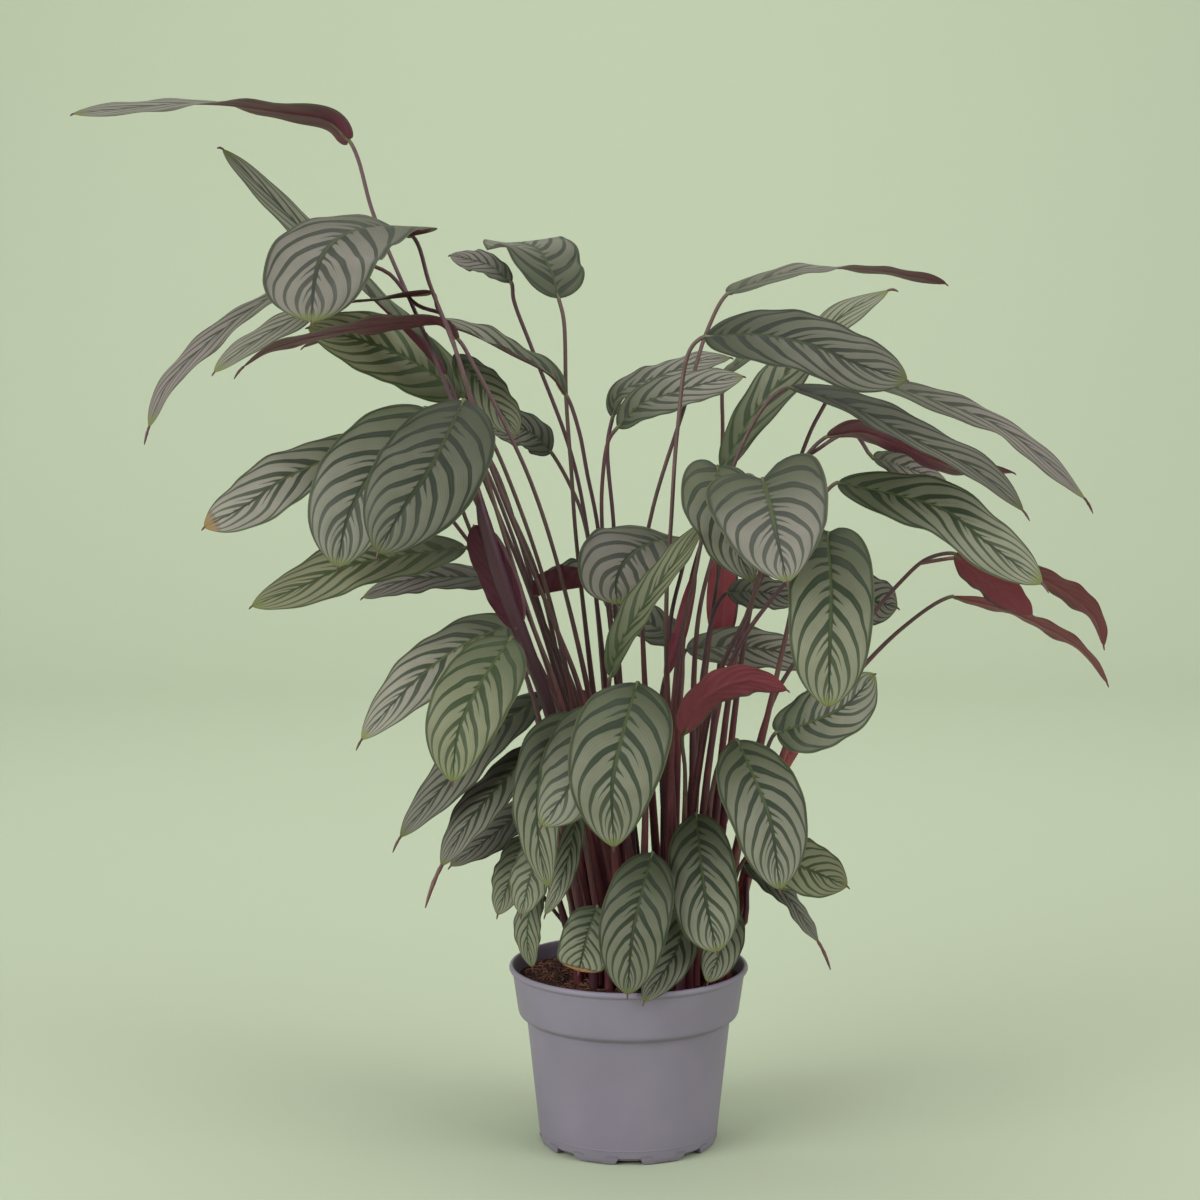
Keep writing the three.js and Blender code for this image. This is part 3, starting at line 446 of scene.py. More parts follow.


# half: half width; turn: the upper side's turn from the viewer about the midrib, at base and tip;
# fold, flare and droop: the V of the halves, more at the base (left, right) and less at the edge;
# lobe: how far each side's base reaches back; broad and blunt: the shapes of base and tip;
# tone: yellow share, pink share, a painted sheen for blades seen at a grazing angle, and dark share,
# painted shade set leaf by leaf for how lit each looks, where a negative dark is painted light;
# blush: how red the underside and the sheath are, where -1 is the darkest sheath; scorch: a dry end;
# hair: length of the drawn-out tip; rib: the midrib from base to tip; stem: the petiole from the blade
# down to its foot (column, row) in the soil, or to the stem that it joins, as a share of that stem's length.
leafTable = [
    # Upper left
    leaf(1, half=29, turn=(120, 62), lobe=(6, 6), broad=12, foot=(-3, 0), tone=(0, .25, .35),
         rib=[(-201, 368, 60), (-216, 383, 60), (-252, 390, 56), (-316, 397, 50), (-422, 389, 30)],
         stem=[(-181, 308, 42), (-140, 212, -22), (-96, 104, -38), (-54, 0, -20), (-30, -80, -10)]),
    leaf(2, half=24, turn=(84, 54), fold=8, flare=(45, 45), blunt=6, foot=(-3, 1), tone=(.1, 0, .2),
         hair=7,
         rib=[(-123, 179, -2), (-162, 222, 8), (-211, 269, 28), (-302, 361, 70)],
         stem=[(-108, 140, 0), (-84, 88, 2), (-52, 0, 4), (-24, -80, 8)]),
    leaf(3, half=50, turn=(90, 8), droop=-18, lobe=(26, 0), flare=(46, 0), blunt=7, foot=(-2, -2),
         tone=(0, .45, .5),
         rib=[(-150, 291, -50), (-178, 298, -62), (-206, 291, -84), (-222, 275, -104), (-228, 256, -120),
              (-231, 222, -134)],
         stem=[(-136, 252, -64), (-112, 190, -86), (-92, 120, -80), (-64, 48, -60), (-36, -20, -44),
               (-14, -80, -38)]),
    leaf(5, half=29, turn=(103, 56), foot=(-3, -1), tone=(.1, .3, 0),
         rib=[(-135, 246, -20), (-176, 241, -35), (-222, 234, -55), (-280, 204, -80), (-309, 182, -95)],
         stem=[(-130, 234, -40), (-120, 214, -66), (-106, 170, -62), (-76, 104, -44), (-46, 20, -34),
               (-22, -80, -26)]),
    leaf(5, half=20, turn=(74, 64), blunt=9, joins=0.9, tone=(0, .75, 0), hair=9,
         rib=[(-200, 270, -10), (-260, 244, -20), (-305, 213, -35), (-346, 172, -55), (-361, 138, -64)],
         stem=[(-170, 262, -8), (-149, 238, -16)]),
    leaf(8, half=25, turn=(106, 100), foot=(-2, -1), tone=(0, .3, .3), hair=8,
         rib=[(-114, 209, -30), (-128, 221, -40), (-200, 216, -60), (-264, 200, -62), (-286, 186, -60)],
         stem=[(-102, 190, -40), (-76, 140, -48), (-56, 96, -46), (-36, 36, -38), (-8, -80, -26)]),
    leaf(9, half=22, turn=(76, 76), fold=22, foot=(-1, 1), tone=(.1, .2, .2),
         rib=[(-27, 164, 8), (-40, 180, 6), (-72, 197, 0), (-104, 213, -4), (-144, 225, -6)],
         stem=[(-17, 136, 10), (-10, 100, 12), (-2, 60, 14)]),
    leaf(10, half=31, turn=(35, 25), foot=(-4, 2), tone=(.5, .1, -1.1),
         rib=[(-110, 163, 44), (-136, 182, 40), (-160, 196, 36), (-192, 208, 28), (-234, 218, 18)],
         stem=[(-96, 128, 42), (-80, 96, 38), (-56, 20, 30), (-30, -80, 26)]),
    leaf(48, half=21, turn=(-48, -35), blunt=6, foot=(-4, 1), tone=(.35, 0, .3),
         rib=[(-116, 196, 12), (-92, 168, 8), (-66, 132, 4)],
         stem=[(-106, 158, 20), (-84, 98, 18), (-50, 20, 14), (-28, -80, 14)]),
    leaf(49, half=20, turn=(42, 42), foot=(-2, 4), tone=(0, 0, .4),
         rib=[(-39, 118, 64), (-56, 134, 60), (-92, 140, 54)],
         stem=[(-24, 92, 64), (-11, 56, 58)]),
    leaf(47, half=38, turn=(25, 102), fold=4, droop=-4, foot=(-2, 2), tone=(.1, .2, .55),
         rib=[(-33, 241, 40), (-39, 262, 54), (-47, 277, 72), (-58, 284, 100), (-84, 286, 150)],
         stem=[(-29, 224, 34), (-27, 160, 32), (-23, 104, 28), (-19, 48, 22)]),
    leaf(7, half=11, turn=(34, 24), foot=(-2, 3), tone=(0, .6, .35),
         rib=[(-71, 254, 50), (-87, 267, 60), (-120, 276, 86)],
         stem=[(-69, 240, 50), (-54, 200, 50), (-24, 120, 48), (-10, 54, 43)]),
    # Left
    leaf(12, half=42, turn=(25, 10), droop=-15, foot=(-3, -3), tone=(.12, 0, 1.1),
         rib=[(-109, 160, -130), (-126, 124, -160), (-139, 100, -175), (-157, 74, -185),
              (-178, 37, -190)],
         stem=[(-103, 142, -108), (-90, 96, -88), (-78, 56, -80), (-54, -20, -70), (-32, -80, -62)]),
    leaf(13, half=42, turn=(30, 10), droop=-15, foot=(-4, -1), tone=(0, .15, .2),
         rib=[(-140, 154, -85), (-168, 120, -105), (-191, 88, -118), (-203, 62, -124), (-210, 26, -128)],
         stem=[(-126, 124, -60), (-110, 72, -42), (-80, 0, -24), (-36, -90, -18)]),
    leaf(13, half=29, turn=(54, 35), blunt=6, joins=0.68, tone=(0, .3, -.4), scorch=.5,
         rib=[(-180, 128, -50), (-224, 110, -62), (-254, 96, -72), (-284, 75, -82), (-317, 58, -90)],
         stem=[(-154, 106, -44), (-128, 76, -46)]),
    leaf(15, half=29, turn=(55, 40), foot=(-4, -2), tone=(.5, .3, 0),
         rib=[(-107, 42, -60), (-160, 35, -70), (-204, 26, -80), (-240, 10, -88), (-279, -5, -92)],
         stem=[(-92, 18, -50), (-58, -34, -34), (-30, -100, -28)]),
    leaf(16, half=26, turn=(66, 60), foot=(-5, 2), tone=(0, .5, .45),
         rib=[(-70, 16, 24), (-112, 18, 32), (-152, 16, 37), (-190, 2, 40)],
         stem=[(-64, -10, 24), (-44, -80, 24)]),
    leaf(17, half=16, turn=(165, 165), fold=20, blunt=9, foot=(-4, -3), tone=(0, 0, 1.2),
         rib=[(-66, -24, -79), (-80, 12, -82), (-101, 60, -84)],
         stem=[(-58, -50, -74), (-46, -80, -62)]),
    leaf(18, half=30, turn=(52, 34), lobe=(0, 10), broad=9, blunt=3.2, foot=(-3, -2), tone=(0, .3, -.7),
         hair=6,
         rib=[(-70, -20, -48), (-104, -33, -66), (-134, -53, -82), (-158, -75, -92), (-191, -112, -104)],
         stem=[(-56, -50, -46), (-32, -90, -42)]),
    leaf(19, half=31, turn=(20, 5), droop=-12, foot=(-4, -4), tone=(.35, 0, .12),
         rib=[(-71, -30, -108), (-90, -58, -132), (-104, -82, -144), (-114, -108, -152),
              (-118, -146, -154)],
         stem=[(-62, -52, -92), (-50, -90, -78)]),
    leaf(20, half=28, turn=(55, 42), blunt=3.5, foot=(-4, 0), tone=(0, .1, .5), hair=9,
         rib=[(-44, -74, 6), (-84, -105, -14), (-125, -149, -34), (-160, -190, -50)],
         stem=[(-34, -104, 2)]),
    leaf(21, half=23, turn=(45, 45), foot=(-5, -1), tone=(0, .2, .3), hair=24,
         rib=[(-52, -116, -12), (-80, -148, -30), (-104, -176, -46), (-127, -213, -60)],
         stem=[(-44, -140, -10)]),
    leaf(22, half=22, turn=(50, 50), foot=(-5, 1), tone=(0, .2, .5),
         rib=[(-42, -152, 16), (-80, -184, 8), (-120, -213, -2)],
         stem=[(-38, -180, 16)]),
    # Lower left and front
    leaf(23, half=24, turn=(30, 40), foot=(-2, -3), tone=(.1, 0, .1),
         rib=[(-22, -90, -84), (-44, -120, -98), (-50, -160, -104), (-48, -200, -106), (-41, -230, -104)],
         stem=[(-14, -122, -68)]),
    leaf(24, half=30, turn=(15, 25), foot=(-2, -4), tone=(.1, 0, .15),
         rib=[(-6, -84, -104), (-14, -120, -124), (-26, -152, -132), (-47, -181, -134)],
         stem=[(2, -120, -82)]),
    leaf(25, half=19, turn=(30, 30), foot=(-5, -2), tone=(.2, 0, 0),
         rib=[(-44, -192, -50), (-54, -216, -60), (-63, -252, -66)],
         stem=[(-40, -214, -42)]),
    leaf(25, half=18, turn=(35, 35), joins=0.4, tone=(.2, 0, .1),
         rib=[(-60, -188, -22), (-70, -218, -30), (-82, -252, -34)],
         stem=[(-50, -206, -20)]),
    leaf(25, half=13, turn=(30, 30), joins=0.3, tone=(.2, 0, .1),
         rib=[(-50, -224, -36), (-56, -248, -42), (-58, -272, -44), (-54, -294, -44)],
         stem=[(-46, -236, -30)]),
    leaf(26, half=40, turn=(12, 2), droop=-12, blunt=3.6, foot=(-1, -4), tone=(.1, 0, .4),
         rib=[(30, -66, -104), (19, -104, -136), (10, -146, -150), (11, -198, -152)],
         stem=[(36, -96, -84)]),
    leaf(27, half=10, turn=(10, 10), foot=(-3, -4), tone=(.1, 0, .1),
         rib=[(-18, -160, -70), (-24, -200, -80), (-34, -232, -84), (-44, -252, -86)],
         stem=[(-13, -190, -62)]),
    leaf(29, half=20, turn=(10, 5), blunt=20, foot=(-2, -5), tone=(.1, 0, 0), scorch=1,
         rib=[(-2, -245, -78), (-10, -268, -88), (-17, -297, -90)],
         stem=[(0, -258, -70)]),
    leaf(32, half=28, turn=(8, 2), blunt=5, foot=(-1, -5), tone=(.1, 0, .7),
         rib=[(42, -202, -92), (33, -236, -106), (26, -268, -112), (22, -316, -113)],
         stem=[(44, -236, -82)]),
    leaf(33, half=17, turn=(12, 12), foot=(1, -5), tone=(.05, 0, .35),
         rib=[(64, -236, -54), (64, -272, -70), (35, -322, -105)],
         stem=[(64, -258, -50)]),
    leaf(34, half=27, turn=(10, -10), blunt=7, foot=(2, -4), tone=(0, 0, 0),
         rib=[(77, -171, -66), (81, -212, -88), (86, -248, -96), (94, -282, -96)],
         stem=[(78, -200, -58)]),
    leaf(35, half=17, turn=(-15, -5), foot=(3, -3), tone=(.1, 0, .1),
         rib=[(102, -240, -50), (98, -276, -66), (86, -306, -76)],
         stem=[(98, -252, -42)]),
    # Lower right
    leaf(36, half=32, turn=(-20, -8), droop=-12, foot=(2, -3), tone=(0, .1, .15),
         rib=[(110, -112, -92), (124, -144, -118), (136, -176, -130), (144, -232, -136)],
         stem=[(94, -134, -66)]),
    leaf(37, half=27, turn=(-38, -25), foot=(4, -2), tone=(.45, 0, 0),
         rib=[(124, -200, -60), (162, -214, -74), (198, -229, -84)],
         stem=[(108, -222, -46)]),
    leaf(37, half=12, turn=(-50, -50), joins=0.5, tone=(0, .1, .5), hair=16,
         rib=[(114, -212, -40), (147, -235, -50), (175, -274, -60)],
         stem=[(108, -224, -36)]),
    leaf(58, half=29, turn=(-30, -30), lobe=(10, 0), broad=5, foot=(3, -2), tone=(.05, .05, .05),
         rib=[(141, -106, -70), (168, -98, -84), (197, -84, -92), (220, -59, -96)],
         stem=[(130, -130, -58)]),
    # Centre
    leaf(31, half=30, turn=(-85, -85), fold=48, foot=(-2, 0), tone=(0, 0, .3),
         rib=[(-54, 4, -4), (-32, 8, -8), (10, 14, -26)],
         stem=[(-44, -20, -10), (-18, -80, -12)]),
    leaf(46, half=16, turn=(-50, -50), foot=(-1, 0), tone=(0, .3, .1),
         rib=[(10, 146, 20), (14, 164, 24), (48, 179, 36), (80, 191, 46), (105, 194, 54)],
         stem=[(6, 124, 18), (11, 58, 10), (12, 0, 4)]),
    leaf(46, half=20, turn=(-42, -42), joins=0.45, tone=(0, .3, .1),
         rib=[(14, 138, -5), (32, 156, -8), (60, 166, -6), (88, 174, 0), (115, 179, 6)],
         stem=[(7, 128, -3), (2, 96, -2), (2, 52, -2)]),
    leaf(50, half=40, turn=(80, -18), droop=-18, blunt=5.5, foot=(0, -1), tone=(0, .4, .15),
         rib=[(66, 50, -10), (42, 46, -26), (22, 33, -44), (13, 15, -57), (14, -4, -62)],
         stem=[(67, 32, -1), (56, -20, -6)]),
    leaf(51, half=22, turn=(45, 45), foot=(0, 2), tone=(0, .1, .3),
         rib=[(65, -34, 40), (38, -18, 50), (2, 4, 60)],
         stem=[(64, -60, 38)]),
    leaf(52, half=17, turn=(-45, -45), fold=20, foot=(-1, -3), tone=(.5, 0, .35),
         rib=[(8, -62, -88), (18, -32, -98), (44, 8, -104), (86, 64, -96)],
         stem=[(8, -90, -76)]),
    leaf(50, half=6, turn=(180, 180), joins=0.25, blush=.5,
         rib=[(52, -62, -30), (63, -30, -34), (71, 2, -34), (77, 26, -34)],
         stem=[(48, -90, -14)]),
    # Upper right
    leaf(42, half=27, turn=(-50, -60), foot=(1, 0), tone=(.22, 0, .1), hair=10,
         rib=[(98, 104, -30), (120, 144, -20), (152, 184, 0), (192, 226, 20), (231, 248, 40)],
         stem=[(84, 56, -22), (70, 0, -14)]),
    leaf(43, half=28, turn=(-42, -30), blunt=7.5, foot=(1, -1), tone=(.05, .15, 1),
         rib=[(84, 211, -60), (128, 212, -80), (172, 203, -96), (205, 189, -104), (246, 176, -110)],
         stem=[(72, 200, -58), (62, 136, -62), (57, 64, -65), (53, -10, -58)]),
    leaf(45, half=26, turn=(-64, -112), blunt=7, foot=(0, 1), tone=(0, .8, 0),
         rib=[(102, 245, 40), (128, 255, 60), (160, 264, 80), (220, 264, 108), (277, 253, 125)],
         stem=[(86, 216, 34), (68, 156, 16), (42, 72, 8), (34, 20, 8)]),
    leaf(65, half=28, turn=(-72, -70), blunt=6, foot=(3, 1), tone=(0, .7, 0), hair=10,
         rib=[(200, 180, 20), (272, 158, 40), (320, 138, 55), (360, 108, 65), (388, 81, 72)],
         stem=[(174, 146, 12), (154, 96, 8), (122, 0, 10)]),
    leaf(66, half=22, turn=(-62, -55), fold=18, blunt=6, foot=(2, -1), tone=(.1, .2, 1), hair=6,
         rib=[(152, 170, -50), (200, 155, -66), (256, 126, -80), (300, 104, -88), (339, 71, -94)],
         stem=[(134, 158, -46), (108, 110, -44), (94, 50, -36), (78, -20, -30)]),
    leaf(67, half=28, turn=(-110, -106), foot=(3, 0),
         rib=[(182, 131, -20), (208, 135, -30), (240, 124, -38), (280, 108, -44), (331, 102, -48)],
         stem=[(162, 110, -14), (146, 56, -12), (112, -30, -8)]),
    leaf(67, half=20, turn=(-60, -60), joins=0.9, tone=(0, .7, 0),
         rib=[(218, 114, 0), (244, 106, 4), (278, 94, 8)],
         stem=[(202, 134, 8)]),
    # Right
    leaf(40, half=46, turn=(0, -5), droop=-14, lobe=(24, 24), flare=(12, 12), broad=18, blunt=3,
         foot=(1, -2), tone=(0, .35, .35),
         rib=[(130, 97, -120), (136, 76, -165), (142, 48, -205), (150, 14, -235)],
         stem=[(136, 66, -96), (122, 0, -66), (92, -70, -48)]),
    leaf(41, half=29, turn=(15, -50), wave=4, lobe=(0, 14), flare=(0, 15), broad=9, foot=(0, -3),
         tone=(.15, .1, .25),
         rib=[(94, 107, -68), (95, 80, -94), (106, 48, -112), (122, 14, -120)],
         stem=[(88, 84, -60), (76, 20, -64), (62, -50, -60)]),
    leaf(53, half=32, turn=(-5, -2), droop=-14, lobe=(10, 22), broad=12, blunt=6, foot=(2, -2),
         tone=(.15, 0, 0),
         rib=[(182, 54, -130), (185, 8, -165), (184, -32, -180), (183, -86, -182)],
         stem=[(166, 30, -106), (140, 4, -80), (102, -58, -58)]),
    leaf(54, half=20, turn=(-45, -45), foot=(1, 1), tone=(0, .2, .1),
         rib=[(102, 6, 34), (128, 6, 32), (160, 0, 28)],
         stem=[(92, -8, 32), (82, -60, 26)]),
    leaf(55, half=26, turn=(-48, -48), foot=(1, 2), tone=(0, .3, -.9),
         rib=[(69, -40, 58), (112, -38, 66), (184, -48, 76)],
         stem=[(66, -64, 50)]),
    leaf(56, half=14, turn=(180, 180), foot=(2, 3), blush=1, tone=(0, 0, -.5),
         rib=[(97, -34, 100), (98, 0, 102), (100, 46, 106)],
         stem=[(92, -80, 88)]),
    leaf(57, half=19, turn=(-135, -135), foot=(1, -3), blush=.6,
         rib=[(66, -108, -74), (84, -78, -82), (118, -64, -88), (150, -72, -92)],
         stem=[(68, -136, -68), (67, -190, -52), (64, -240, -40)]),
    leaf(59, half=25, turn=(-35, -35), blunt=6, foot=(4, 0), tone=(0, .2, 0),
         rib=[(188, 0, 2), (212, 0, -2), (238, -6, -6)],
         stem=[(168, -32, 6), (136, -86, 6)]),
    leaf(60, half=27, turn=(-45, -30), blunt=6, foot=(3, -1), tone=(.15, 0, -.1), hair=6,
         rib=[(190, 94, -50), (240, 83, -66), (277, 71, -76), (309, 46, -84), (354, 13, -92)],
         stem=[(170, 66, -44), (148, -32, -36)]),
    leaf(61, half=17, turn=(-108, -104), blunt=9, foot=(4, 1), blush=.7,
         rib=[(282, 3, 40), (320, -6, 55), (353, -20, 70), (387, -41, 85), (406, -67, 95)],
         stem=[(240, -24, 36), (184, -83, 26), (160, -112, 20, 5), (138, -150, 16, 6)]),
    leaf(62, half=20, turn=(-135, -135), foot=(4, -1), blush=.7,
         rib=[(284, 37, -20), (311, 16, -25), (346, -12, -30)],
         stem=[(262, 33, -20), (240, 14, -22), (196, -40, -24), (156, -100, -24)]),
    leaf(62, half=24, turn=(-112, -112), joins=0.9, blush=.7,
         rib=[(320, 32, 0), (368, 10, 10), (396, -14, 15), (403, -37, 20)],
         stem=[(288, 34, -8)]),
    # Back
    leaf(70, half=30, turn=(80, 130), foot=(-4, 3), tone=(0, .2, .2),
         rib=[(-120, 120, 60), (-140, 130, 110), (-165, 108, 150), (-180, 66, 175)],
         stem=[(-100, 80, 52), (-40, -60, 44)]),
    leaf(70, half=22, turn=(75, 105), joins=0.75, tone=(0, .2, .2),
         rib=[(-140, 192, 70), (-170, 214, 100), (-204, 214, 130), (-238, 202, 150)],
         stem=[(-112, 130, 48)]),
    leaf(70, half=27, turn=(60, 125), joins=0.3,
         rib=[(-60, -60, 80), (-76, -50, 120), (-96, -80, 155), (-106, -146, 170)],
         stem=[(-46, -110, 60)]),
    leaf(70, half=27, turn=(150, 150), joins=0.25,
         rib=[(0, -74, 90), (-10, -86, 126), (-20, -122, 154), (-28, -180, 168)],
         stem=[(-8, -130, 66)]),
    leaf(71, half=28, turn=(-75, -135), foot=(2, 2), tone=(.1, .1, .2),
         rib=[(110, 90, 60), (130, 94, 100), (146, 78, 140), (152, 36, 165)],
         stem=[(100, 50, 50), (84, -60, 36)]),
    leaf(71, half=24, turn=(-70, -125), joins=0.2,
         rib=[(108, -150, 90), (122, -146, 125), (136, -172, 150), (142, -222, 165)],
         stem=[(98, -184, 74)]),
    leaf(71, half=24, turn=(-70, -100), joins=0.75,
         rib=[(100, 180, 60), (130, 200, 90), (165, 192, 120), (196, 170, 140)],
         stem=[(98, 130, 50)]),
]
# Stems without a blade: rolled new leaves and bare sheaths, with the radius at each point
spearTable = [
    leaf(17, joins=0.3, blush=-1,
         stem=[(-98, 88, -86, 2), (-92, 60, -84, 5.5), (-78, 14, -80, 6.5), (-62, -30, -74, 6),
               (-40, -90, -60, 5)]),
    leaf(37, joins=0.3,
         stem=[(118, -222, -22, 1.5), (114, -260, -24, 3)]),
]


# Routes, the same as the part's: centripetal curves through given points
class Route:
    def __init__(self, places):
        places = np.array(places, float)
        self.places = np.vstack([2 * places[0] - places[1], places, 2 * places[-1] - places[-2]])
        self.parts = np.linspace(0, 1, 201)
        steps = np.linalg.norm(np.diff(self.byPart(self.parts), axis=0), axis=1)
        self.lengths = np.concatenate([[0], np.cumsum(steps)])

    def byPart(self, part):
        spans = len(self.places) - 3
        whole = np.atleast_1d(part) * spans
        span = np.clip(np.floor(whole).astype(int), 0, spans - 1)
        t = (whole - span)[:, None]
        around = [self.places[span + k] for k in range(4)]
        p0, p1, p2, p3 = around
        d0, d1, d2 = [np.sqrt(np.linalg.norm(b - a, axis=1))[:, None] for a, b in zip(around, around[1:])]
        d1 = np.where(d1 < 1e-4, 1, d1)
        d0 = np.where(d0 < 1e-4, d1, d0)
        d2 = np.where(d2 < 1e-4, d1, d2)
        g1 = ((p1 - p0) / d0 - (p2 - p0) / (d0 + d1) + (p2 - p1) / d1) * d1
        g2 = ((p2 - p1) / d1 - (p3 - p1) / (d1 + d2) + (p3 - p2) / d2) * d1
        return p1 + g1 * t + (-3 * p1 + 3 * p2 - 2 * g1 - g2) * t ** 2 + (2 * p1 - 2 * p2 + g1 + g2) * t ** 3

    def at(self, share):
        return self.byPart(np.interp(np.atleast_1d(share) * self.lengths[-1], self.lengths, self.parts))

    def heading(self, share):
        share = np.atleast_1d(share)
        return unit(self.at(np.minimum(share + 1e-3, 1)) - self.at(np.maximum(share - 1e-3, 0)))


def unit(vectors):
    return vectors / np.linalg.norm(vectors, axis=-1, keepdims=True)


def ribFrame(rib, turn, share):
    # place, and the directions along, out of the upper side, and across
    at = rib.at(share)
    along = rib.heading(share)
    toEye = eye - at
    toEye = unit(toEye - along * np.sum(toEye * along, axis=1)[:, None])
    angle = np.radians(turn[0] + (turn[1] - turn[0]) * share)[:, None]
    out = toEye * np.cos(angle) + np.cross(along, toEye) * np.sin(angle)
    return at, along, out, np.cross(along, out)


growth = dict(
    soilTop=137, stemDepth=8, stemStraight=12,  # mm
    # radius of a sheathed stem by its distance from the foot, on one at least this long, mm
    taper=[(0, 4.1), (110, 3.4), (190, 2.7), (260, 2), (330, 1.6)], sheathedLength=380,
    sheathEnds=(170, 300),                      # mm from the foot, where a sheath turns into petiole
    footPitch=12.5, footRowPitch=11.5, footShift=22, footStagger=6,
    ribRows=56, evenRows=0.45,                  # rows of points along a blade, and the share spaced evenly
    stemStep=9,                                 # mm between the points of a stem
    # the petiole's points under the blade: share of the rib, depth below it and radius, mm
    ridge=[(0.02, 0.9, 1.4), (0.05, 1.0, 1.1), (0.09, 0.9, 0.7)],
    # the drawn-out tip: radius along it, how deep it starts in the blade and how far it hangs, mm
    tipHair=[0.6, 0.7, 0.6, 0.75, 0.6, 0.5, 0.2], hairRoot=1.5, hairSag=0.5,
    dryHair=16,                                 # length at which it is twice as thick, mm
)
# What each point of a centre line carries, and what of it the finishes read
lineData = dict(
    isBlade="FLOAT", along="FLOAT_VECTOR", outward="FLOAT_VECTOR", across="FLOAT_VECTOR", share="FLOAT",
    width="FLOAT", foldLeft="FLOAT", foldRight="FLOAT", droop="FLOAT", wave="FLOAT",
    backLeft="FLOAT", backRight="FLOAT",
    radius="FLOAT", sheathed="FLOAT", seed="FLOAT", tone="FLOAT_VECTOR", scorch="FLOAT", blush="FLOAT",
)
keptData = ("sheathed", "seed", "tone", "scorch", "blush", "bladeMap", "material_index", "sharp_face")


def bladeWidth(share, broad, blunt):
    return (1 - (1 - share) ** broad) ** 0.6 * np.clip(1 - share ** blunt, 0, 1) ** 0.8


def footPlace(foot):
    column, row = foot
    stagger = 0 if row % 2 == 0 else growth["footStagger"]
    return growth["footShift"] + growth["footPitch"] * column + stagger, growth["footRowPitch"] * row


class Shoot:
    # the centre lines of one node's blades and stems
    def __init__(self):
        self.points = []
        self.edges = []
        self.carried = {name: [] for name in lineData}

    def addLine(self, places, **carried):
        first = sum(len(p) for p in self.points)
        count = len(places)
        self.points.append(np.array(places) * mm)
        self.edges += [(first + k, first + k + 1) for k in range(count - 1)]
        for name, kind in lineData.items():
            shape = (count, 3) if kind == "FLOAT_VECTOR" else (count,)
            self.carried[name].append(np.broadcast_to(carried.get(name, 0), shape))

    def toMesh(self, name):
        mesh = bpy.data.meshes.new(name)
        mesh.from_pydata(np.concatenate(self.points).tolist(), self.edges, [])
        for field, kind in lineData.items():
            data = mesh.attributes.new(field, kind, "POINT").data
            values = np.concatenate(self.carried[field]).astype(np.float32).ravel()
            data.foreach_set("vector" if kind == "FLOAT_VECTOR" else "value", values)
        return mesh


def addBlade(shoot, entry, rib, seed):
    steps = np.linspace(0, 1, growth["ribRows"])
    even = growth["evenRows"]
    share = steps * even + (1 - np.cos(pi * steps)) / 2 * (1 - even)
    at, along, outward, across = ribFrame(rib, entry["turn"], share)
    narrow = bladeWidth(share, entry["broad"], entry["blunt"])
    folds = [np.radians(entry["fold"] + flare * (1 - share) ** 4) for flare in entry["flare"]]
    lobes = [lobe * (1 - (1 - narrow) ** 3) * mm for lobe in entry["lobe"]]
    shoot.addLine(
        at, isBlade=1, along=along, outward=outward, across=across, share=share,
        width=entry["half"] * narrow * mm, foldLeft=folds[0], foldRight=folds[1],
        droop=radians(entry["droop"]), wave=entry["wave"] * mm, backLeft=lobes[0], backRight=lobes[1],
        seed=seed, tone=entry["tone"], scorch=entry["scorch"], blush=entry["blush"],
    )
    # the tip is drawn out to a fine hair, which hangs a little; a long one is dry and thicker
    part = np.linspace(0, 1, len(growth["tipHair"]))[:, None]
    root = growth["hairRoot"]
    sag = np.array([0, 0, -growth["hairSag"]])
    hair = at[-1] - along[-1] * root + (along[-1] * part + sag * part ** 2) * (entry["hair"] + root)
    radius = np.array(growth["tipHair"]) * (1 + entry["hair"] / growth["dryHair"])
    shoot.addLine(hair, share=1, radius=radius * mm, sheathed=0.25, seed=seed)


def stemRoute(entry, rib, carrier):
    places = list(seen(entry["stem"][::-1]))
    radii = [None] + [place[3] if len(place) > 3 else None for place in entry["stem"][::-1]]
    if "foot" in entry:
        x, y = footPlace(entry["foot"])
        places.insert(0, np.array([x, y, growth["soilTop"] + growth["stemStraight"]]))
    else:
        places.insert(0, carrier.at(entry["joins"])[0])
    ends = len(places) - (0 if rib else 1)
    if rib:
        places += [rib.at(0)[0], rib.at(0.15)[0]]
    return Route(places), radii, ends, len(places) - 1


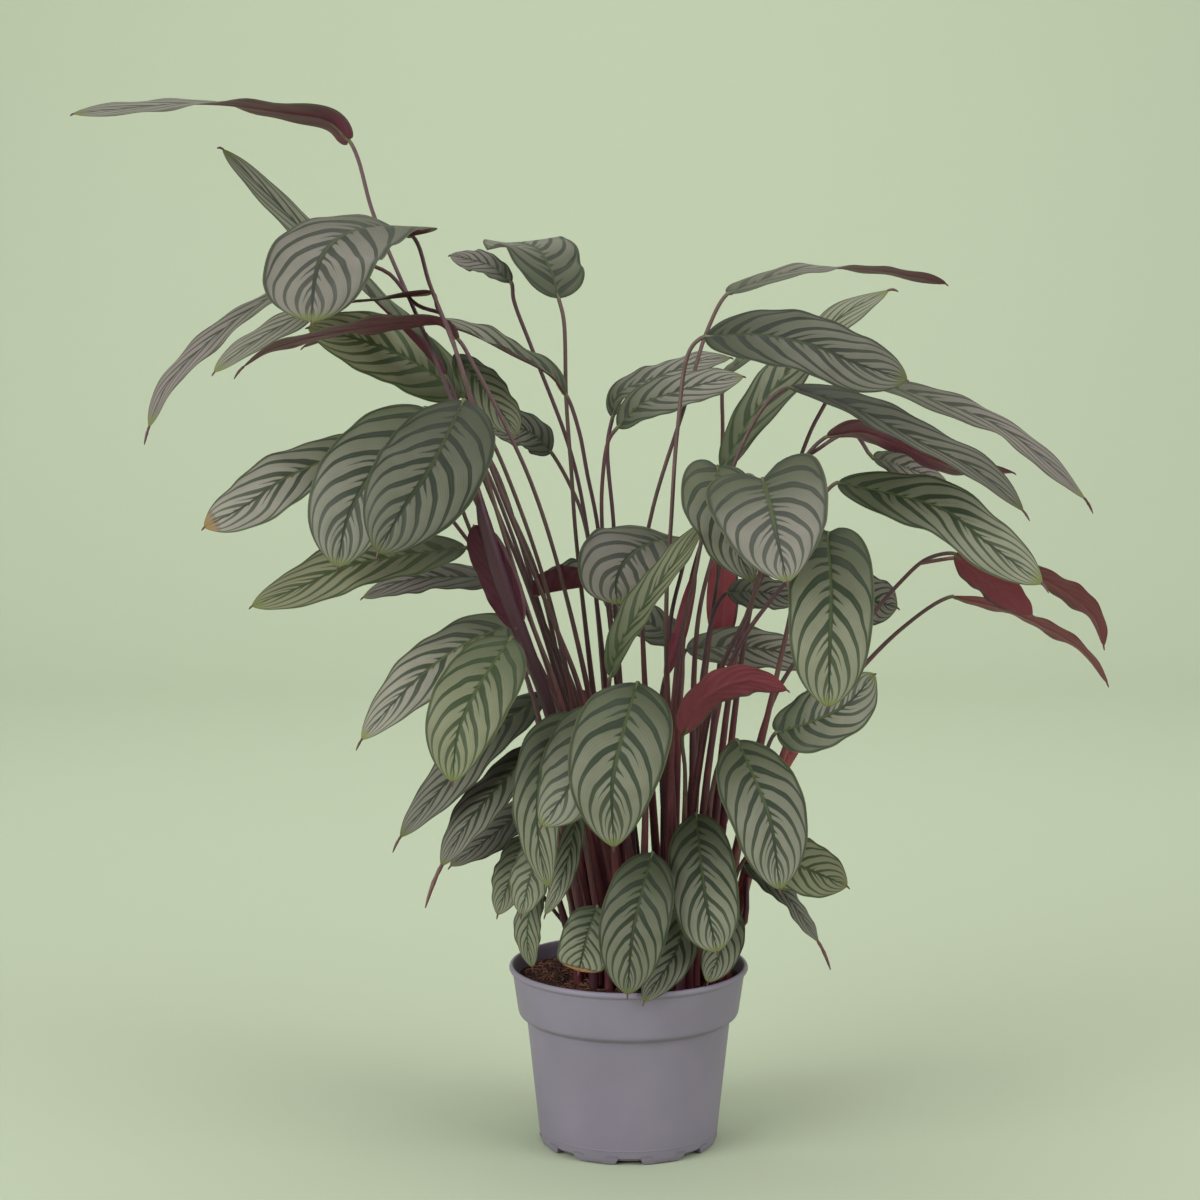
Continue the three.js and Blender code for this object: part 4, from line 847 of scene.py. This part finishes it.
def addStem(shoot, entry, rib, carrier, seed):
    path, radii, ends, spans = stemRoute(entry, rib, carrier)
    count = max(int(path.lengths[-1] / growth["stemStep"]), 8)
    part = np.linspace(0, ends / spans, count)
    places = path.byPart(part)
    footed = "foot" in entry
    # a sheath that clasps the stem opens out into the thin petiole
    whole = np.linalg.norm(np.diff(path.places[1:ends + 2], axis=0), axis=1).sum()
    height = np.linalg.norm(places - places[0], axis=1) / min(1, whole / growth["sheathedLength"])
    heights, radiuses = zip(*growth["taper"])
    radius = np.interp(height, heights, radiuses) if footed else np.full(count, radiuses[-1])
    sheathed = np.interp(height, growth["sheathEnds"], [1, 0]) if footed else np.full(count, 0.25)
    if any(radii):
        known = [k for k, r in enumerate(radii) if r]
        shaped = np.interp(part * spans, known, [radii[k] for k in known])
        near = np.interp(part * spans, [known[0] - 1, known[0], known[-1], known[-1] + 1], [0, 1, 1, 0])
        radius = radius * (1 - near) + shaped * near
        sheathed = np.maximum(sheathed, np.interp(radius, [2, 3], [0, 1]))
    if footed:
        below = growth["soilTop"] - growth["stemDepth"]
        places = np.vstack([[places[0][0], places[0][1], below], places])
        radius = np.concatenate([[radius[0]], radius])
        sheathed = np.concatenate([[1], sheathed])
    if rib:
        # the petiole runs on as the ridge under the blade's midrib
        shares, depths, ridge = np.transpose(growth["ridge"])
        at, _, outward, _ = ribFrame(rib, entry["turn"], shares)
        places = np.vstack([places, at - outward * depths[:, None]])
        radius = np.concatenate([radius, ridge])
        sheathed[-2:] = -0.5, -1
        sheathed = np.concatenate([sheathed, [-1, -1, -1]])
    shoot.addLine(places, share=0.5, radius=radius * mm, sheathed=sheathed, seed=seed, blush=entry["blush"])
    return path


# The shoot's tree: blades and stems are swept along the lines
leafSizes = {
    "Blade thickness": 0.8 * mm,
    "Midrib height": 1.0 * mm,
    "Edge ripple": 0.9 * mm,
    "Columns": 18,
    "Stem sides": 12,
}


def shootTree(upper, under, stem):
    wire, sizes, keys = startTree("prayer plant shoot", "Lines", "Shoot", leafSizes)

    def read(name, kind="FLOAT"):
        return wire.make("GeometryNodeInputNamedAttribute", {"data_type": kind}, {"Name": name})

    def store(geometry, name, value, kind="FLOAT", domain="POINT"):
        return wire.make("GeometryNodeStoreNamedAttribute", {"data_type": kind, "domain": domain},
                         {"Geometry": geometry, "Name": name, "Value": value})

    def sweep(chosen, profile, scale, caps):
        # along the lines for which chosen is "Selection", the blades, or "Inverted", the stems
        lines = wire.make("GeometryNodeSeparateGeometry", {"domain": "POINT"},
                          {"Geometry": sizes["Lines"], "Selection": read("isBlade").over(0.5)}, out=chosen)
        return wire.make("GeometryNodeCurveToMesh", sockets={
            "Curve": wire.make("GeometryNodeMeshToCurve", sockets={"Mesh": lines}),
            "Profile Curve": profile, "Scale": scale, "Fill Caps": caps})

    def circle(sides, radius):
        return wire.make("GeometryNodeCurvePrimitiveCircle", sockets={"Resolution": sides, "Radius": radius})

    # Blade: a flat closed loop around each rib point, upper side first, then the underside
    count = wire.make("GeometryNodeInputIndex") / sizes["Columns"] - 1
    even = 1 - count.size() * 2
    loop = store(circle(sizes["Columns"] * 2, 1 * mm), "cross", even * (0.4 + even.size() * 0.6))
    loop = store(loop, "facing", -count.side())
    swept = sweep("Selection", loop, 0.0, False)
    cross, share, width, seed, facing = [read(name) for name in ("cross", "share", "width", "seed", "facing")]
    away = cross.size()
    left = 1 - cross.over(0.0)
    rise = left * read("foldLeft") + (1 - left) * read("foldRight") + read("droop") * away * 0.5
    middle = (share * pi).sine()
    ripple = read("wave") * away * away * (share * 14 + left * 2).sine() * middle
    flutter = (share * 33 + seed * 60 + left * 3).sine() * middle * away ** 4.0
    ripple = ripple + flutter * sizes["Edge ripple"]
    thin = (1 - away ** 6.0).most(0.0) ** 0.5 * (width / (3 * mm)).least(1.0) * sizes["Blade thickness"] * 0.5
    nearRib = 1 - (away * width).rise(0.4 * mm, 2.2 * mm)
    ridge = nearRib * (1 - share) ** 0.8 * (width / (6 * mm)).least(1.0) * sizes["Midrib height"]
    lift = facing * thin - (1 - facing.over(0.0)) * ridge - facing.over(0.0) * ridge * 0.25
    back = (left * read("backLeft") + (1 - left) * read("backRight")) * away ** 1.3 * (1 - share) ** 3.0
    along, outward, across = [read(name, "FLOAT_VECTOR") for name in ("along", "outward", "across")]
    shift = across * (width * cross * rise.cosine() - cross.side() * rise.sine() * lift)
    shift = shift + outward * (width * away * rise.sine() + ripple + rise.cosine() * lift)
    shift = shift - along * back
    blade = wire.make("GeometryNodeSetPosition", sockets={"Geometry": swept, "Offset": shift})

    # Stem: a round bar with a radius of its own at each point
    bars = sweep("Inverted", circle(sizes["Stem sides"], 1.0), read("radius"), True)

    whole = wire.make("GeometryNodeJoinGeometry", sockets={"Geometry": [bars, blade]})
    whole = wire.make("GeometryNodeMergeByDistance", sockets={"Geometry": whole, "Distance": 0.002 * mm})
    whole = store(whole, "bladeMap", wire.combine(cross * 0.5 + 0.5, share, 0.0), "FLOAT2", "CORNER")
    whole = wire.make("GeometryNodeSetShadeSmooth", sockets={"Geometry": whole, "Shade Smooth": True})
    whole = wire.make("GeometryNodeRealizeInstances", sockets={"Geometry": whole})
    for finish, chosen in ((stem, True), (upper, facing.over(0.1)), (under, (-facing).over(0.1))):
        whole = wire.make("GeometryNodeSetMaterial",
                          sockets={"Geometry": whole, "Selection": chosen, "Material": finish})
    whole.finish()
    return wire, keys


def tidyMesh(mesh):
    for name in [a.name for a in mesh.attributes if not a.is_internal and not a.is_required]:
        if name not in keptData:
            mesh.attributes.remove(mesh.attributes[name])
    mesh.set_sharp_from_angle(angle=radians(50))


def growLeaves():
    wire, keys = shootTree(leafUpperFinish(), leafUnderFinish(), stemFinish())
    shoots = {}
    carriers = {}
    draws = np.random.RandomState(11)
    for entry in leafTable + spearTable:
        node = entry["node"]
        shoot = shoots.setdefault(node, Shoot())
        rib = Route(seen(entry["rib"])) if "rib" in entry else None
        seed = draws.random_sample()
        path = addStem(shoot, entry, rib, carriers.get(node), seed)
        if "foot" in entry:
            carriers[node] = path
        if rib:
            addBlade(shoot, entry, rib, seed)
    for node, shoot in shoots.items():
        piece = grown("plant_" + node, shoot.toMesh(node), wire, leafSizes, keys)
        tidyMesh(piece.data)
        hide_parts(node)
        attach(piece, "root")
    print("leaves grown:", len(shoots), "shoots")


growLeaves()


# Pot
potShape = dict(
    steps=160, cornerSteps=5,  # points around the pot, and along each rounded corner
    # radius and height of the outline's corners, and how far each is rounded, mm
    outline=[
        (0, 1.4), (60, 1.4), (62, 0, 0.8), (68.5, 0, 1), (71.1, 1.2, 1), (72.3, 4, 1.5), (73.0, 11.2, 0.4),
        (73.3, 11.7, 0.3), (73.15, 12.6, 0.3), (82.7, 103, 1.2), (88.7, 106.6, 1.6), (89.7, 109.5, 1.6),
        (94.3, 141.6, 1), (96.5, 142.3, 1), (97.2, 144.4, 1), (95.8, 147, 1.2), (93.8, 146.6, 0.8),
        (92.8, 143.4, 1), (88.1, 110.5, 1.5), (81.1, 105, 1.5), (70.8, 6, 2), (69.2, 3, 1.5), (0, 3),
    ],
    footWall=slice(3, 7),      # the corners of the outline that the notches cut through
    notches=8, notchTop=17.5, notchFoot=24, notchHeight=6, notchDepth=(60, 80),
    tabWidth=9.5, tabRaise=0.55,
    paint=color(127, 120, 135),
    paintPale=color(135, 128, 143),
    paintBottom=color(112, 108, 115),
)


def rounded(corners):
    places = []
    for k, corner in enumerate(corners):
        here = np.array(corner[:2], float)
        if len(corner) < 3:
            places.append(here)
            continue
        first = here + unit(np.array(corners[k - 1][:2], float) - here) * corner[2]
        last = here + unit(np.array(corners[k + 1][:2], float) - here) * corner[2]
        for t in np.linspace(0, 1, potShape["cornerSteps"]):
            places.append((1 - t) ** 2 * first + 2 * t * (1 - t) * here + t ** 2 * last)
    return places


def revolve(mesh, profile, steps):
    # a closed skin through rings of points, each given as radius and height, which may be a function
    turns = [2 * pi * k / steps for k in range(steps)]
    rings = []
    for radius, height in profile:
        spots = [(0, 0)] if radius < 0.01 else [(radius * cos(a), radius * sin(a)) for a in turns]
        heights = [height(x, y) if callable(height) else height for x, y in spots]
        rings.append([mesh.verts.new((x * mm, y * mm, z * mm)) for (x, y), z in zip(spots, heights)])
    for near, far in zip(rings, rings[1:]):
        for k in range(steps):
            n = (k + 1) % steps
            corners = [near[k % len(near)], far[k % len(far)], far[n % len(far)], near[n % len(near)]]
            mesh.faces.new(dict.fromkeys(corners))


def addBlock(mesh, near, far):
    # a closed block between two outlines that have as many corners
    near = [mesh.verts.new(np.array(p) * mm) for p in near]
    far = [mesh.verts.new(np.array(p) * mm) for p in far]
    mesh.faces.new(near)
    mesh.faces.new(far[::-1])
    for k in range(len(near)):
        n = (k + 1) % len(near)
        mesh.faces.new((near[n], near[k], far[k], far[n]))


def newPiece(name, mesh):
    bmesh.ops.recalc_face_normals(mesh, faces=mesh.faces)
    data = bpy.data.meshes.new(name)
    mesh.to_mesh(data)
    mesh.free()
    return addToScene(bpy.data.objects.new(name, data))


def notchCutters(shape):
    mesh = bmesh.new()
    top, foot, high = shape["notchTop"] / 2, shape["notchFoot"] / 2, shape["notchHeight"]
    outline = [(-foot, -1), (foot, -1), (top, high), (-top, high)]
    for k in range(shape["notches"]):
        turn = 2 * pi * k / shape["notches"]
        ends = []
        for depth in shape["notchDepth"]:
            ends.append([(x * cos(turn) + depth * sin(turn), x * sin(turn) - depth * cos(turn), z)
                         for x, z in outline])
        addBlock(mesh, *ends)
    return newPiece("notch cutters", mesh)


def addTabs(mesh, shape):
    # thin raised panels on both sides of each notch, which follow the wall
    radii, heights = zip(*[corner[:2] for corner in shape["outline"][shape["footWall"]]])
    top, foot, high = shape["notchTop"] / 2, shape["notchFoot"] / 2, shape["notchHeight"]
    wide = shape["tabWidth"]
    low = [(foot + 0.3 + wide * t, 1.0) for t in np.linspace(0, 1, 5)]
    lift = [(top + 0.3 + wide * t, high + 1.5) for t in np.linspace(1, 0, 5)]
    for k in range(shape["notches"]):
        for side in (-1, 1):
            ends = []
            for raised in (shape["tabRaise"], -0.6):
                ring = []
                for x, z in low + lift:
                    radius = np.interp(z, heights, radii) + raised
                    turn = 2 * pi * k / shape["notches"] - pi / 2 + side * x / radius
                    ring.append((radius * cos(turn), radius * sin(turn), z))
                ends.append(ring)
            addBlock(mesh, *ends)


def potFinish():
    material, shader, wire = newMaterial("grey moulded plastic", Specular_IOR_Level=0.42)
    place = wire.objectPlace()
    cloudy = place.noise(14.0, 3.0)
    paint = cloudy.rise(0.3, 0.7).mix(potShape["paint"], potShape["paintPale"])
    # darker along the bottom 12 mm of the pot, with a slightly uneven upper line
    bottomBand = (cloudy * 0.03 - place.split()[2]).rise(-0.012, 0.012)
    paint = (bottomBand * 0.25).mix(paint, potShape["paintBottom"])
    feed(shader, paint, 0.44 + cloudy * 0.12, place.noise(900.0, 2.0).bump(0.25, 0.0002))
    return material


def cutNotches(pot, shape):
    cutters = notchCutters(shape)
    cut = pot.modifiers.new("notches", "BOOLEAN")
    cut.operation = "DIFFERENCE"
    cut.solver = "EXACT"
    cut.object = cutters
    bpy.context.view_layer.update()
    plain = bpy.data.meshes.new_from_object(pot.evaluated_get(bpy.context.evaluated_depsgraph_get()))
    pot.modifiers.clear()
    pot.data = plain
    plain.name = pot.name
    bpy.data.objects.remove(cutters)


def buildPot():
    shape = potShape
    mesh = bmesh.new()
    revolve(mesh, rounded(shape["outline"]), shape["steps"])
    pot = newPiece("nursery_pot", mesh)
    cutNotches(pot, shape)
    tabs = bmesh.new()
    addTabs(tabs, shape)
    bmesh.ops.recalc_face_normals(tabs, faces=tabs.faces)
    tabs.from_mesh(pot.data)
    tabs.to_mesh(pot.data)
    tabs.free()
    pot.data.materials.clear()
    pot.data.materials.append(potFinish())
    pot.data.shade_smooth()
    pot.data.set_sharp_from_angle(angle=radians(32))
    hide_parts("pot")
    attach(pot, "root")
    print("pot moulded:", len(pot.data.polygons), "faces")


buildPot()


# Soil
soilShape = dict(
    top=137, radius=91, mound=4, rings=46, steps=150, rough=1.5,  # mm, apart from the counts
    edge=[(0, 1), (0.31, 1), (0.62, 0), (0.88, -1), (1, -3)],     # how it falls towards the pot's wall
    under=[(80.75, 105.2), (70.2, 6.85), (68.2, 3.35), (0, 3.35)],
    dark=(color(36, 25, 21), color(76, 52, 41)),
    crumbs=(color(42, 28, 24), color(108, 71, 55)),
    fibres=(color(104, 66, 50), color(158, 110, 86)),
)
crumbSizes = {
    "Crumbs": 110000.0,        # to the square metre
    "Crumb size": 2.4 * mm,
    "Crumbs reach to": 88 * mm,
    "Fibres": 36000.0,
    "Fibre length": 7.5 * mm,
    "Fibre thickness": 0.36 * mm,
    "Crumb seed": 3,
    "Fibre seed": 8,
}


def soilHeight(x, y):
    outer = np.hypot(x, y) / soilShape["radius"]
    rough = np.sin(x * 0.11) * np.cos(y * 0.13) + 0.5 * np.sin(y * 0.23 + x * 0.17)
    slope = np.interp(outer, *zip(*soilShape["edge"]))
    clods = np.sin(x * 0.42 + np.sin(y * 0.31) * 2) * np.sin(y * 0.47 + np.sin(x * 0.37) * 2)
    mound = (1 - outer) * soilShape["mound"] * (0.5 + rough)
    return soilShape["top"] + slope + mound + clods * soilShape["rough"] * 0.5


def crumbTree(soil, crumb, fibre):
    wire, sizes, keys = startTree("potting soil", "Bed", "Soil", crumbSizes)
    right, back, height = wire.make("GeometryNodeInputPosition").split()
    inside = sizes["Crumbs reach to"].over((right * right + back * back) ** 0.5)
    facingUp = wire.make("GeometryNodeInputNormal").split()[2].over(0.3)
    bare = facingUp * height.over(0.125) * inside

    def finished(geometry, material):
        return wire.make("GeometryNodeSetMaterial", sockets={"Geometry": geometry, "Material": material})

    def draw(low, high, seed):
        return wire.make("FunctionNodeRandomValue", {"data_type": "FLOAT_VECTOR"},
                         {"Min": low, "Max": high, "Seed": seed})

    def scatter(shape, density, seed, turn, scale):
        points = wire.make("GeometryNodeDistributePointsOnFaces", {"distribute_method": "RANDOM"},
                           {"Mesh": sizes["Bed"], "Selection": bare, "Density": density, "Seed": seed})
        return wire.make("GeometryNodeInstanceOnPoints", sockets={
            "Points": points, "Instance": shape, "Rotation": turn, "Scale": scale})

    # Crumbs: small lumps of a few faces, pushed out of round
    lump = wire.make("GeometryNodeMeshIcoSphere", sockets={"Radius": 0.5, "Subdivisions": 1})
    push = wire.make("GeometryNodeInputPosition").noise(2.6, 2.0, "Color") - (0.5, 0.5, 0.5)
    lump = wire.make("GeometryNodeSetPosition", sockets={"Geometry": lump, "Offset": push * 0.9})
    crumbs = scatter(finished(lump, crumb), sizes["Crumbs"], sizes["Crumb seed"],
                     draw((0, 0, 0), (6.28, 6.28, 6.28), 22),
                     draw((0.35, 0.35, 0.3), (1.5, 1.2, 0.95), 21) * sizes["Crumb size"])

    # Fibres: thin bent threads that lie about on top
    line = wire.make("GeometryNodeCurvePrimitiveLine", sockets={"Start": (-0.5, 0, 0), "End": (0.5, 0, 0)})
    line = wire.make("GeometryNodeResampleCurve", sockets={"Curve": line, "Count": 6})
    along = wire.make("GeometryNodeInputPosition").split()[0]
    bow = wire.combine(0.0, (along * 5.5).sine() * 0.13, 0.16 - along * along * 0.65)
    line = wire.make("GeometryNodeSetPosition", sockets={"Geometry": line, "Offset": bow})
    ring = wire.make("GeometryNodeCurvePrimitiveCircle",
                     sockets={"Resolution": 4, "Radius": sizes["Fibre thickness"] / sizes["Fibre length"]})
    thread = wire.make("GeometryNodeCurveToMesh",
                       sockets={"Curve": line, "Profile Curve": ring, "Fill Caps": True})
    fibres = scatter(finished(thread, fibre), sizes["Fibres"], sizes["Fibre seed"],
                     draw((-0.5, -0.5, 0), (0.5, 0.5, 6.28), 23),
                     draw((0.4, 0.5, 0.3), (1.3, 1.4, 1.2), 24) * sizes["Fibre length"])

    loose = wire.make("GeometryNodeJoinGeometry", sockets={"Geometry": [crumbs, fibres]})
    loose = wire.make("GeometryNodeRealizeInstances", sockets={"Geometry": loose})
    bed = finished(sizes["Bed"], soil)
    wire.make("GeometryNodeJoinGeometry", sockets={"Geometry": [loose, bed]}).finish()
    return wire, keys


def earthFinish(name, shades, scale, rough, distance):
    material, shader, wire = newMaterial(name, Specular_IOR_Level=0.25)
    place = wire.objectPlace()
    speck = place.noise(scale, 4.0, Roughness=0.7)
    broad = place.noise(scale * 0.2, 1.0)
    paint = (speck * 0.7 + broad * 0.5).rise(0.45, 0.85).mix(*shades)
    feed(shader, paint, rough + speck * 0.1, speck.bump(0.9, distance))
    return material


def fillPot():
    shape = soilShape
    rings = shape["rings"]
    bed = bmesh.new()
    top = [(shape["radius"] * ring / rings, soilHeight) for ring in range(rings + 1)]
    revolve(bed, top + shape["under"], shape["steps"])
    bmesh.ops.recalc_face_normals(bed, faces=bed.faces)
    data = bpy.data.meshes.new("soil bed")
    bed.to_mesh(data)
    bed.free()
    data.shade_smooth()
    wire, keys = crumbTree(
        earthFinish("dark soil", shape["dark"], 420.0, 0.85, 0.0012),
        earthFinish("soil crumbs", shape["crumbs"], 260.0, 0.85, 0.0006),
        earthFinish("soil fibres", shape["fibres"], 300.0, 0.75, 0.0002),
    )
    soil = grown("potting_soil", data, wire, crumbSizes, keys)
    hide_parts("soil")
    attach(soil, "root")
    print("soil filled:", len(soil.data.polygons), "faces")


fillPot()


# Floor, backdrop and light
studio = dict(
    floor=color(181, 193, 165),
    floorPale=color(184, 196, 169),
    width=9, front=3.5, back=2.4, height=5, bend=1.6,   # m
    sky=color(226, 220, 226), skyPower=0.62,
)
softBoxes = [
    # name, place, aimed at, size, watts
    ("soft box left", (-2.6, -2.3, 1.9), (0, 0, 0.4), 2.8, 98),
    ("soft box right", (2.7, -1.8, 2.2), (0, 0, 0.4), 2.6, 58),
    ("soft box above", (0, 0.3, 3.4), (0, 0, 0.3), 2.4, 30),
    ("backdrop light", (0, 1.6, 3.2), (0, 4.2, 1.6), 3.0, 41),
]


def floorFinish():
    material, shader, wire = newMaterial("sage paper", Specular_IOR_Level=0.15)
    cloudy = wire.objectPlace().noise(0.8, 2.0)
    feed(shader, cloudy.mix(studio["floor"], studio["floorPale"]), 0.9 + cloudy * 0.05)
    return material


def layFloor():
    # one sheet that curves up behind the plant
    across, bend = studio["width"] / 2, studio["bend"]
    profile = [(-studio["front"], 0)]
    profile += [(studio["back"] + bend * sin(a), bend * (1 - cos(a))) for a in np.linspace(0, pi / 2, 25)]
    profile += [(studio["back"] + bend, studio["height"])]
    data = bpy.data.meshes.new("floor and backdrop")
    places = [(x, y, z) for y, z in profile for x in (-across, across)]
    faces = [(2 * k, 2 * k + 1, 2 * k + 3, 2 * k + 2) for k in range(len(profile) - 1)]
    data.from_pydata(places, [], faces)
    data.shade_smooth()
    data.materials.append(floorFinish())
    addToScene(bpy.data.objects.new("backdrop", data))
    print("floor laid")


def addLights():
    for name, place, aim, size, watts in softBoxes:
        lamp = bpy.data.lights.new(name, "AREA")
        lamp.shape = "DISK"
        lamp.size = size
        lamp.energy = watts
        light = addToScene(bpy.data.objects.new(name, lamp))
        light.location = place
        light.rotation_euler = (Vector(aim) - Vector(place)).to_track_quat("-Z", "Y").to_euler()
    world = bpy.data.worlds.new("studio air")
    world.use_nodes = True
    air = world.node_tree.nodes["Background"]
    air.inputs["Color"].default_value = studio["sky"]
    air.inputs["Strength"].default_value = studio["skyPower"]
    bpy.context.scene.world = world
    bpy.context.scene.view_settings.view_transform = "Standard"
    print("lights set")


layFloor()
addLights()
